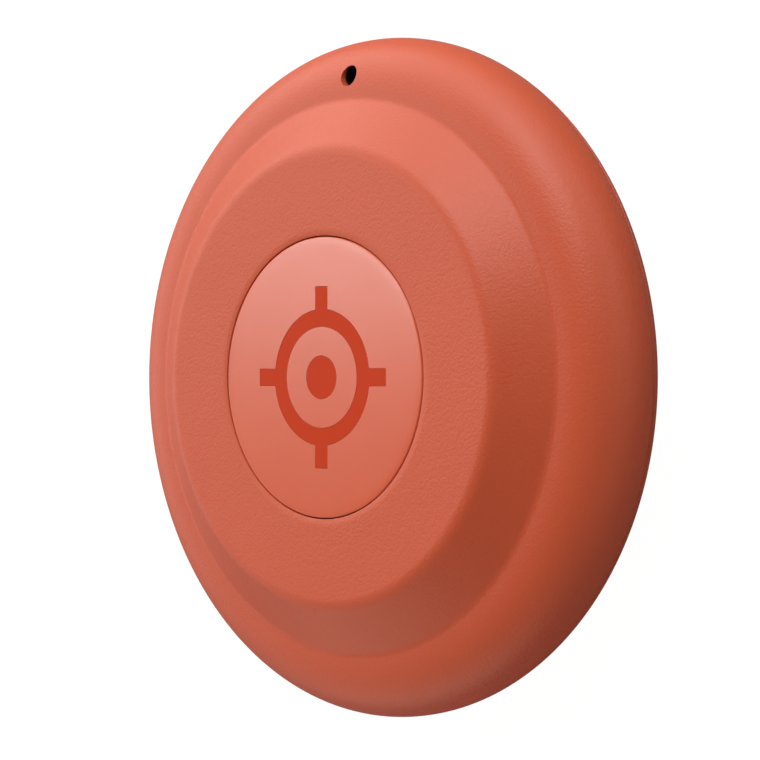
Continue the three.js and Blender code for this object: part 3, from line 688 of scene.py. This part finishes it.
def turned_metal(name, colour, roughness, pitch, slot):
    """Pressed sheet with the faint rings a lathe or a polishing wheel leaves about the Z axis."""
    made = Finish(name, colour, roughness, metallic=1.0)
    phase = made.maths("MULTIPLY", made.distance(), 2 * math.pi / (pitch * MM))
    rings = made.between(made.maths("SINE", phase), -1, 1)
    haze = made.noise(2.5, 2)
    made.set("Base Color", made.mix(made.maths("MULTIPLY", rings, haze), shade_of(colour, 0.88), colour))
    made.set("Roughness", made.between(haze, 0.25, 0.75, roughness - 0.02, roughness + 0.03))
    made.relief(rings, 0.0004)
    return made.material, slot


def soft_stuff(name, colour, roughness, pore, depth, spread=0.15):
    """Rubber, foam and felt: open pores over a slow drift of tone."""
    made = Finish(name, colour, roughness, specular=0.3)
    pores = made.cells(pore)
    patches = made.maths("MULTIPLY", made.noise(pore * 4, 3), 0.4)
    tone = made.maths("ADD", made.maths("MULTIPLY", pores, 0.7), patches)
    made.set("Base Color", made.mix(tone, shade_of(colour, 1 - spread), shade_of(colour, 1 + spread)))
    made.set("Roughness", made.between(tone, 0.1, 0.9, roughness - 0.08, roughness + 0.08))
    made.relief(pores, depth)
    return made.material, name


def clouded(name, colours, gloss, cloud, ripple, depth, metallic=0.0, spread=0.2, squeeze=1.0, slot=None):
    """One even stuff, clouded between a dark and a light colour round its middle one, and between two
    roughnesses, with a fine ripple that is squeezed along Z by that factor."""
    dark, middle, light = colours
    made = Finish(name, middle, sum(gloss) / 2, metallic=metallic)
    haze = made.noise(*cloud)
    made.set("Base Color", made.mix(haze, dark, light))
    made.set("Roughness", made.between(haze, 0.5 - spread, 0.5 + spread, *gloss))
    made.relief(made.noise(*ripple, place=made.stretched(1, 1, squeeze)), depth)
    return made.material, slot or name


def printed_board():
    """Solder mask over copper: brighter tracks in a fine rectangular maze, plated holes, and bare glass
    fibre at the cut edge."""
    made = Finish("circuit_board", (0.012, 0.060, 0.035), 0.33)
    maze = made.node("ShaderNodeTexBrick", {
        "Vector": made.place, "Scale": 1 / (1.1 * MM), "Mortar Size": 0.07, "Mortar Smooth": 0.2,
        "Brick Width": 0.9, "Row Height": 0.42,
    }, offset=0.5, squash=0.6, squash_frequency=3)
    track = made.maths("MULTIPLY", maze.outputs["Fac"], made.between(made.noise(2.6, 1), 0.42, 0.5))
    holes = made.cells(1.25, flat=True)
    ring = made.between(holes, 0.13, 0.16, 1.0, 0.0)
    drilled = made.between(holes, 0.06, 0.08, 1.0, 0.0)
    mask = made.mix(made.noise(0.9, 3), (0.009, 0.050, 0.028), (0.014, 0.070, 0.040))
    mask = made.mix(track, mask, (0.025, 0.130, 0.065))
    mask = made.mix(ring, mask, (0.42, 0.30, 0.12))
    mask = made.mix(drilled, mask, (0.01, 0.01, 0.01))
    up = made.node("ShaderNodeNewGeometry").outputs["Normal"]
    facing = made.maths("ABSOLUTE", made.axis("Z", up))
    weave = made.noise(0.12, 2, place=made.stretched(1, 1, 4))
    glass = made.mix(weave, (0.30, 0.25, 0.12), (0.42, 0.36, 0.20))
    made.set("Base Color", made.mix(made.between(facing, 0.4, 0.6), glass, mask))
    made.set("Roughness", made.between(made.noise(0.7, 3), 0.3, 0.7, 0.28, 0.38))
    made.relief(made.maths("SUBTRACT", made.maths("ADD", track, ring), drilled), 0.012)
    return made.material, "circuit_board"


# ------------ inner parts


def refined(node, finish, edge, without=()):
    """A CAD piece with its corners joined up, its flat areas merged, holes cut and its edges rounded."""
    work = bmesh.new()
    work.from_mesh(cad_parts[node].data)
    bmesh.ops.remove_doubles(work, verts=work.verts, dist=2e-7)
    bmesh.ops.dissolve_limit(work, angle_limit=math.radians(1), verts=work.verts, edges=work.edges)
    mesh = bpy.data.meshes.new(node + "_body")
    work.to_mesh(mesh)
    work.free()
    piece = bpy.data.objects.new(node + "_body", mesh)
    scene.collection.objects.link(piece)
    if without:
        combine(piece, "DIFFERENCE", without)
    shade(piece)
    soften(piece, edge)
    settle(piece, "case", finish, node)


def footprint(node):
    """Middle, length direction, length and width of an upright CAD block, in millimetres."""
    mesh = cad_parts[node].data
    flat = np.zeros(len(mesh.vertices) * 3)
    mesh.vertices.foreach_get("co", flat)
    flat = np.unique(np.round(flat.reshape(-1, 3)[:, :2] / MM, 4), axis=0)
    middle = (flat.min(0) + flat.max(0)) / 2
    along = np.linalg.eigh(np.cov((flat - middle).T))[1][:, 1]
    size = high(node) - low(node)
    if np.any(np.all(np.abs(flat - flat.min(0)) < 1e-3, axis=1)):
        along = np.array([1.0, 0.0]) if size[0] >= size[1] else np.array([0.0, 1.0])
    across = np.array([-along[1], along[0]])
    reach = flat - middle
    return middle, along, np.ptp(reach @ along), np.ptp(reach @ across)


def blocks(node, spans, finish, edge):
    """A part built of blocks. Each span is (lowest corner, highest corner, plated) along the part's length,
    width and height, as shares from -1 to 1 of its half length and half width, and 0 to 1 of its height."""
    middle, along, length, width = footprint(node)
    bottom, top = low(node)[2], high(node)[2]
    across = np.array([-along[1], along[0]])
    starts, ends, metal = (np.array(column, float) for column in zip(*spans))
    share = (starts[:, None] + CUBE * (ends - starts)[:, None]).reshape(-1, 3)
    flat = middle + np.outer(share[:, 0] * length / 2, along) + np.outer(share[:, 1] * width / 2, across)
    verts = np.column_stack([flat, bottom + share[:, 2] * (top - bottom)])
    faces = (np.array(CUBE_FACES) + np.arange(len(spans))[:, None, None] * len(CUBE)).reshape(-1, 4)
    piece = outward(as_piece(node + "_body", verts * MM, faces.tolist()))
    plated = piece.data.attributes.new("plated", "FLOAT", "POINT")
    plated.data.foreach_set("value", np.repeat(metal, len(CUBE)))
    shade(piece)
    soften(piece, edge)
    settle(piece, "case", finish, node)


def lathe(node, profile, around, finish, body="case", closed=False, at=(0, 0)):
    """A turned piece in a CAD node's place."""
    return settle(moved(turned(node + "_body", profile, around, closed), *at), body, finish, node)


def make_cell(finishes):
    """Coin cell: drawn can with a rolled rim, insulating ring, stepped cap, and the layers inside."""
    can, cap, ring = high("cell_can"), high("cell_cap"), high("cell_gasket")
    base, rim, radius = low("cell_can")[2], can[2], can[0]
    floor = low("cell_cathode")[2] - FIT
    sheet = floor - base
    wall, crimp = radius - sheet, radius - 0.65
    corners = [(0, base), (radius, base), (radius, rim), (crimp, rim), (crimp, rim - sheet)]
    outside = rounded(corners, [0.42, 0.42, 0.05], 10)
    corners = [(crimp, rim - sheet), (wall, rim - sheet - 0.15), (wall, floor), (0, floor)]
    inside = rounded(corners, [0.12, 0.2], 6)
    groove = [(0, base), (6.5, base), (6.56, base + 0.03), (6.8, base + 0.03), (6.86, base)]
    profile = densify(np.vstack([groove, outside[1:], inside[1:]]), 0.5)
    lathe("cell_can", profile, 192, finishes["can"], "coin_cell")

    lip, seal_inner = rim + 0.04, ring[0] + FIT - 0.45
    shoulder = rim - sheet - 0.2
    gasket = ring_profile([
        (seal_inner, floor + FIT), (ring[0], floor + FIT), (ring[0], shoulder),
        (crimp - FIT, shoulder + 0.15), (crimp - FIT, lip), (seal_inner - 0.22, lip),
        (seal_inner, low("cell_cap")[2] + 0.3),
    ], 0.04, 4)
    lathe("cell_gasket", gasket, 192, finishes["black"], "coin_cell", closed=True)

    outer, foot, top = cap[0], low("cell_cap")[2], cap[2]
    inner = outer - sheet
    corners = [(outer - 0.02, foot), (outer, foot + 0.3), (inner - 0.3, top), (inner - 1.3, top),
               (inner - 1.42, top - 0.04), (0, top - 0.04)]
    upper = rounded(corners, [0.1, 0.3, 0.05, 0.05], 8)
    lower = rounded([(0, top - sheet), (inner - 0.5, top - sheet), (inner, foot)], [0.25], 6)
    lathe("cell_cap", densify(np.vstack([lower, upper]), 0.5), 192, finishes["cap"], "coin_cell")

    for layer in ("cathode", "separator", "anode"):
        disc("cell_" + layer, finishes[layer], 0.04, "coin_cell")


def disc(node, finish, edge, body="case", around=96, grooves=0):
    """A flat round part with broken edges and, if asked, pressed rings, about its own middle."""
    first, last = low(node), high(node)
    radius, bottom, top = (last[0] - first[0]) / 2, first[2], last[2]
    middle = (first + last) / 2
    edge = min(edge, (top - bottom) * 0.4)
    line = rounded([(0, bottom), (radius, bottom), (radius, top), (0, top)], [edge, edge], 5)
    if grooves:
        out = np.linspace(0.12, 0.8, grooves * 10)
        wave = (1 - np.cos(out * grooves * 2 * math.pi)) * 0.25 * (top - bottom)
        upper = np.column_stack([out[::-1] * radius, top - wave[::-1]])
        line = np.vstack([line[:-1], upper, [(0, top)]])
    lathe(node, densify(line, radius / 6), around, finish, body, at=middle[:2])


def stacked(ridge, count, bottom, top):
    """The same ridge over and over up a side; its heights are shares of the step from one to the next."""
    step = (top - bottom) / count
    rises = np.arange(count)[:, None, None] * [0, step]
    return (np.array(ridge)[None] * [1, step] + rises).reshape(-1, 2) + [0, bottom]


def make_screws(finish):
    """Pan-head screws, head down, with a cross recess and a thread of even ridges."""
    seat, start = FRAME_TOP - 1.03, FRAME_TOP - 0.7
    for number, place in enumerate(screw_places(), 1):
        node = f"screw_{number}"
        bottom, top = low(node)[2], high(node)[2]
        thread = stacked([(0.41, 0.0), (0.5, 0.35), (0.5, 0.5), (0.41, 0.85)], 9, start, top - 0.3)
        head = rounded([(0, bottom), (0.95, bottom), (0.95, seat), (0.45, seat)], [0.24, 0.03], 7)
        tip = [(0.40, top - 0.25), (0.12, top), (0, top)]
        screw = turned(node + "_body", np.vstack([head, [(0.45, start)], thread, tip]), 48)
        combine(screw, "DIFFERENCE", [
            slab((-0.5, -0.12, bottom - 0.2), (0.5, 0.12, bottom + 0.26), degrees) for degrees in (0, 90)
        ])
        settle(moved(screw, *place), "case", finish, node)


def make_seals(finishes):
    """Seal in the cover's groove, foam under the cell, return ring and the button's silicone foot."""
    seal = (low("rim_seal")[2] + high("rim_seal")[2]) / 2
    section = arc((high("rim_seal")[0] - SEAL_HALF, seal), 0.147, 0, 360, 17)[:-1]
    lathe("rim_seal", section, 256, finishes["rubber"], "back_cover", closed=True)
    disc("cell_pad", finishes["foam"], 0.05, "back_cover")

    bottom, top = low("return_ring")[2], high("return_ring")[2]
    inner, outer = BUTTON_RADIUS - 0.1, high("return_ring")[0]
    waist = [(outer - 0.22, 0.30), (outer - 0.05, 0.5), (outer - 0.22, 0.70)]
    section = [(inner, bottom), (outer, bottom), (outer, bottom + 0.2)]
    section += [(r, bottom + (top - bottom) * share) for r, share in waist]
    section += [(outer, top - 0.2), (outer, top), (inner, top)]
    ring = lathe("return_ring", ring_profile(section, 0.06, 4), 256, finishes["silicone"], closed=True)
    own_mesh(ring)

    foot, head = low("button_plunger")[2], high("button_plunger")[2]
    flange = high("button_plunger")[0]
    collar = head - 0.25
    corners = [(0, foot), (1.02, foot), (1.1, collar), (flange, collar), (flange, head), (0, head)]
    profile = rounded(corners, [0.18, 0.12, 0.06, 0.06], 6)
    lathe("button_plunger", profile, 96, finishes["silicone"], "button")


def make_switch(finishes):
    """Press switch: a moulded base with four plated feet under a thin snap dome."""
    feet = [((sx * 0.62 - 0.2, sy * 0.82 - 0.18, 0.0), (sx * 0.62 + 0.2, sy * 0.82 + 0.18, 0.28), True)
            for sx in (-1, 1) for sy in (-1, 1)]
    spans = [((-1, -0.86, 0.06), (1, 0.86, 0.8), False), *feet,
             ((-0.8, -0.80, 0.5), (0.8, 0.80, 1.0), False)]
    blocks("switch_base", spans, finishes["chip"], 0.035)
    bottom, top, radius = low("switch_dome")[2], high("switch_dome")[2], high("switch_dome")[0]
    sheet = 0.07
    share = np.linspace(0, 1, 14)
    rise = (top - bottom - sheet) * np.sin(share * math.pi / 2)
    upper = np.column_stack([radius * (1 - share), bottom + sheet + rise])
    dome = lathe("switch_dome", np.vstack([upper[::-1] - [0, sheet], upper]), 64, finishes["steel"])
    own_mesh(dome)


def make_sounder(finishes):
    """Sounder: box, lid with its mouth, coil round a magnet, corrugated diaphragm, port seal and mesh."""
    refined("sounder_case", finishes["black"], 0.06)
    refined("sounder_lid", finishes["black"], 0.03)
    centre = (low("sounder_coil") + high("sounder_coil")) / 2
    bottom, top = low("sounder_coil")[2], high("sounder_coil")[2]
    outside = stacked([(1.2, 0.05), (1.25, 0.35), (1.25, 0.65), (1.2, 0.95)], 7, bottom, top)
    profile = np.vstack([[(0.7, bottom)], outside, [(0.7, top)]])
    lathe("sounder_coil", profile, 96, finishes["wire"], closed=True, at=centre[:2])
    disc("sounder_magnet", finishes["steel"], 0.06, around=48)
    disc("sounder_diaphragm", finishes["nickel"], 0.02, grooves=3)
    refined("port_gasket", finishes["foam"], 0.03)

    spacing, bars = 0.11, []
    first, last = low("port_mesh"), high("port_mesh")
    radius = (last[0] - first[0]) / 2
    centre = (first + last) / 2
    steps = np.arange(-3, 4) * spacing
    for x in steps:
        for y in steps + (0.5 * spacing if round(x / spacing) % 2 else 0):
            if math.hypot(x, y) < radius - 0.07:
                bars.append(upright(0.032, first[2] - 0.05, last[2] + 0.05, (x, y), 10))
    corners = [(0, first[2]), (radius, first[2]), (radius, last[2]), (0, last[2])]
    sieve = turned("port_mesh_body", rounded(corners, [0.02, 0.02], 3), 48)
    combine(sieve, "DIFFERENCE", bars)
    settle(moved(sieve, *centre[:2]), "case", finishes["mesh"], "port_mesh")


def windings(first, last, count, gap):
    """Where each turn of a coil starts and ends, with a gap left on either side of it."""
    edges = np.linspace(first, last, count + 1)
    return zip(edges[:-1] + gap, edges[1:] - gap)


def make_board(finishes):
    """Board and the parts on it: chips with plated edges, capped ceramics, lidded crystals, wound coils."""
    refined("main_board", finishes["board"], 0.03)
    lid = high("shield_can")[2]
    vents = [upright(0.13, lid - 0.4, lid + 0.2, (x, y), 20)
             for x in (-4.6, -3.95, -3.3) for y in (-1.2, 0.0, 1.2)]
    refined("shield_can", finishes["sheet"], 0.05, vents)

    capacitor = [((-1, -1, 0), (-0.56, 1, 1), True), ((0.56, -1, 0), (1, 1, 1), True),
                 ((-0.7, -0.94, 0.04), (0.7, 0.94, 0.95), False)]
    for name in ("supply_capacitor", "bulk_capacitor", *(f"filter_capacitor_{n}" for n in (1, 2, 3))):
        blocks(name, capacitor, finishes["ceramic"], 0.04)

    pads = [((x - 0.07, -1, 0.0), (x + 0.07, 1, 0.16), True) for x in (-0.75, -0.25, 0.25, 0.75)]
    package = [((-1, -0.94, 0.05), (1, 0.94, 1), False), *pads]
    blocks("memory_chip", package, finishes["chip"], 0.025)
    blocks("radio_chip", package, finishes["chip"], 0.025)
    diode = [((-1, -0.45, 0), (-0.7, 0.45, 0.3), True), ((0.7, -0.45, 0), (1, 0.45, 0.3), True),
             ((-0.84, -1, 0.08), (0.84, 1, 0.98), False), ((-0.6, -0.98, 0.9), (-0.44, 0.98, 1), True)]
    blocks("guard_diode", diode, finishes["chip"], 0.03)

    lidded = [((-1, -1, 0), (1, 1, 0.25), False), ((-0.9, -0.82, 0.2), (0.9, 0.82, 1), True)]
    blocks("timing_crystal", lidded, finishes["crystal"], 0.07)
    blocks("clock_crystal", lidded, finishes["crystal"], 0.07)

    turns = windings(-0.62, 0.62, 9, 0.012)
    wound = [((start, -0.9, 0.08), (end, 0.9, 0.94), True) for start, end in turns]
    small = [((-1, -1, 0), (-0.64, 1, 1), False), ((0.64, -1, 0), (1, 1, 1), False),
             ((-0.8, -0.75, 0.2), (0.8, 0.75, 0.8), False), *wound]
    blocks("tuning_coil", small, finishes["wound"], 0.015)
    turns = windings(0.24, 0.74, 6, 0.008)
    wound = [((-0.86, -0.86, start), (0.86, 0.86, end), True) for start, end in turns]
    large = [((-1, -1, 0), (1, 1, 0.22), False), ((-0.7, -0.7, 0.1), (0.7, 0.7, 0.9), False), *wound,
             ((-0.98, -0.98, 0.76), (0.98, 0.98, 1), False)]
    blocks("power_inductor", large, finishes["wound"], 0.025)

    refined("negative_contact", finishes["gold"], 0.02)
    refined("positive_contact", finishes["gold"], 0.03)
    refined("antenna_feed", finishes["gold"], 0.02)
    refined("antenna", finishes["copper"], 0.03)
    refined("battery_frame", finishes["frame"], 0.05)


def inner_finishes():
    """Every finish used inside, as (material, slot), by a short name."""
    steel, nickel = (0.60, 0.59, 0.57), (0.68, 0.65, 0.60)
    lithium = ((0.42, 0.41, 0.39), (0.52, 0.52, 0.50), (0.60, 0.60, 0.58))
    silicone = ((0.52, 0.53, 0.53), (0.62, 0.63, 0.62), (0.70, 0.70, 0.69))
    wire = ((0.58, 0.20, 0.08), (0.70, 0.27, 0.11), (0.78, 0.32, 0.14))
    copper_turns = (0.72, 0.30, 0.14)
    return {
        "can": turned_metal("cell_can_nickel", nickel, 0.27, 0.09, "nickel"),
        "cap": turned_metal("cell_cap_steel", steel, 0.24, 0.12, "stainless_steel"),
        "steel": turned_metal("stainless_steel", steel, 0.28, 0.05, "stainless_steel"),
        "nickel": turned_metal("nickel", nickel, 0.3, 0.07, "nickel"),
        "sheet": brushed("shield_steel", (0.66, 0.65, 0.63), 0.32, "stainless_steel"),
        "gold": brushed("gold_contact", (0.83, 0.60, 0.24), 0.25),
        "copper": brushed("copper", (0.80, 0.42, 0.26), 0.3),
        "black": smooth_plastic("black_plastic", (0.014, 0.014, 0.015), 0.45, 0.1, 0.004),
        "mesh": smooth_plastic("mesh_black", (0.006, 0.006, 0.006), 0.6, 0.05, 0.002, slot="black_plastic"),
        "frame": smooth_plastic("frame_plastic", (0.085, 0.088, 0.092), 0.48, 0.12, 0.006),
        "rubber": soft_stuff("dark_rubber", (0.022, 0.022, 0.024), 0.65, 0.12, 0.004),
        "foam": soft_stuff("foam", (0.055, 0.055, 0.060), 0.85, 0.16, 0.03, 0.3),
        "separator": soft_stuff("fleece", (0.75, 0.75, 0.72), 0.9, 0.08, 0.01),
        "cathode": soft_stuff("cathode_mix", (0.028, 0.027, 0.027), 0.8, 0.10, 0.01, 0.3),
        "anode": clouded("lithium", lithium, (0.45, 0.65), (0.8, 4, 0.65), (0.3, 3), 0.01, metallic=0.8),
        "silicone": clouded("silicone", silicone, (0.34, 0.44), (0.5, 4, 0.6), (0.05, 2), 0.0015),
        "wire": clouded("coil_wire", wire, (0.27, 0.38), (0.12, 3), (0.04, 2), 0.002, metallic=1.0,
                        spread=0.3, squeeze=6, slot="copper"),
        "board": printed_board(),
        "chip": two_part("chip_plastic", (0.018, 0.018, 0.020), 0.42, "black_plastic"),
        "ceramic": two_part("ceramic", (0.34, 0.22, 0.12), 0.4, "ceramic"),
        "crystal": two_part("crystal_can", (0.55, 0.44, 0.25), 0.5, "nickel", (0.72, 0.68, 0.60), 0.25),
        "wound": two_part("wound_coil", (0.035, 0.033, 0.033), 0.55, "dark_rubber", copper_turns, 0.35),
    }


# ------------ camera, light and floor


ROOM_LIGHT = 1.75
ROOM_FADES = (  # direction, share along it where the fade starts and ends, strength before and after
    ((0, 0, 1), 0.30, 0.83, ROOM_LIGHT, 0.0),
    ((0.707, -0.707, 0), 0.15, 0.85, 1.0, 0.2),
    ((-0.707, -0.707, 0), 0.70, 0.97, 1.0, 0.3),
)
FLOOR_BOUNCE = 0.3
PAPER = 0.06
PAPER_GLOW = 0.985
LAMP_DISTANCE = 0.6
CAMERA_DISTANCE = 118.09
CAMERA_OFF_AXIS = 44.977
CAMERA_LENS = 118.13


def make_camera():
    """Long lens, 45 degrees off the button's axis towards +X, with +Y up in the picture."""
    off_axis = math.radians(CAMERA_OFF_AXIS)
    back = Vector((math.sin(off_axis), 0, math.cos(off_axis)))
    up = Vector((0, 1, 0))
    right = up.cross(back)
    data = bpy.data.cameras.new("camera")
    data.sensor_width = 36
    data.lens = CAMERA_LENS
    data.clip_start, data.clip_end = 0.005, 10
    camera = bpy.data.objects.new("camera", data)
    scene.collection.objects.link(camera)
    middle = Vector((0, 0, MIDDLE * MM))
    camera.location = middle + back * CAMERA_DISTANCE * MM - right * 0.112 * MM - up * 0.123 * MM
    camera.rotation_mode = "QUATERNION"
    camera.rotation_quaternion = Matrix((right, up, back)).transposed().to_quaternion()
    scene.camera = camera


def softbox(name, towards, width, height, power, along=(1, 0, 0), colour=(1, 1, 1)):
    """A rectangular lamp in that direction from the tag, facing it, its width along the last direction;
    sizes in metres."""
    data = bpy.data.lights.new(name, "AREA")
    data.shape = "RECTANGLE"
    data.size, data.size_y = width, height
    data.energy = power
    data.color = colour
    lamp = bpy.data.objects.new(name, data)
    scene.collection.objects.link(lamp)
    direction = Vector(towards).normalized()
    lamp.location = direction * LAMP_DISTANCE
    lamp.rotation_mode = "QUATERNION"
    upwards = direction.cross(Vector(along)).normalized()
    turn = Matrix((upwards.cross(direction), upwards, direction)).transposed()
    lamp.rotation_quaternion = turn.to_quaternion()


def room_gradient(tree):
    """Strength of the room's light by direction: bright walls, a dim ceiling and two dim corners."""
    place = add_node(tree, "ShaderNodeTexCoord").outputs["Generated"]
    product = 1.0
    for towards, *ranges in ROOM_FADES:
        along = add_node(tree, "ShaderNodeVectorMath", {0: place, 1: towards}, operation="DOT_PRODUCT")
        factors = {0: product, 1: add_ranges(tree, along.outputs["Value"], *ranges)}
        product = add_node(tree, "ShaderNodeMath", factors, operation="MULTIPLY").outputs[0]
    return product


def show_and_light(tree, output, lighting, shown):
    """Ends a node tree with one shader that lights the tag and another that the camera sees directly."""
    ray = add_node(tree, "ShaderNodeLightPath").outputs["Is Camera Ray"]
    both = add_node(tree, "ShaderNodeMixShader", {"Fac": ray, 1: lighting, 2: shown})
    add_node(tree, output, {"Surface": both.outputs["Shader"]})


def make_stage():
    """White sweep: the floor and the room look white themselves, and light the tag only softly."""
    world = bpy.data.worlds.new("studio")
    scene.world = world
    world.use_nodes = True
    tree = world.node_tree
    tree.nodes.clear()
    white = (1, 1, 1, 1)
    seen = add_node(tree, "ShaderNodeBackground", {"Color": white})
    lit = add_node(tree, "ShaderNodeBackground", {"Color": white, "Strength": room_gradient(tree)})
    show_and_light(tree, "ShaderNodeOutputWorld", lit.outputs["Background"], seen.outputs["Background"])

    half = 3.0
    corners = [(-half, -half, 0), (half, -half, 0), (half, half, 0), (-half, half, 0)]
    floor = as_piece("floor", corners, [(0, 1, 2, 3)])
    material = bpy.data.materials.new("floor")
    material.use_nodes = True
    tree = material.node_tree
    tree.nodes.clear()
    bounce, paper = (add_node(tree, "ShaderNodeBsdfDiffuse", {"Color": (grey, grey, grey, 1)}).outputs["BSDF"]
                     for grey in (FLOOR_BOUNCE, PAPER))
    glow = add_node(tree, "ShaderNodeEmission", {"Strength": PAPER_GLOW}).outputs["Emission"]
    shown = add_node(tree, "ShaderNodeAddShader", {0: paper, 1: glow}).outputs["Shader"]
    show_and_light(tree, "ShaderNodeOutputMaterial", bounce, shown)
    floor.data.materials.append(material)


scene.view_settings.view_transform = "Standard"
scene.view_settings.look = "None"
make_camera()
make_stage()
softbox("key", (-0.33, 0.75, 0.57), 1.00, 0.45, 1.36, along=(0.82, 0, 0.46))
softbox("crown", (0.10, 0.66, 0.75), 0.27, 0.27, 1.65)
softbox("brow", (-0.72, 0.64, 0.28), 0.35, 0.35, 0.28)
softbox("lower_fill", (-0.40, -0.88, 0.20), 0.70, 0.35, 1.40, colour=(1, 0.62, 0.45))
softbox("sheen", (-0.665, 0.17, 0.73), 0.18, 0.16, 0.55)

# ------------ the tag

shell_finish = shell_plastic()
inner = inner_finishes()

make_front_shell(shell_finish)
make_back_cover(shell_finish)
make_button_cap(smooth_plastic("button_plastic", BUTTON_RED, 0.22, specular=0.6))
make_mark(smooth_plastic("mark_plastic", MARK_RED, 0.5, specular=0.1))
make_cell(inner)
make_screws(inner["steel"])
make_seals(inner)
make_switch(inner)
make_sounder(inner)
make_board(inner)
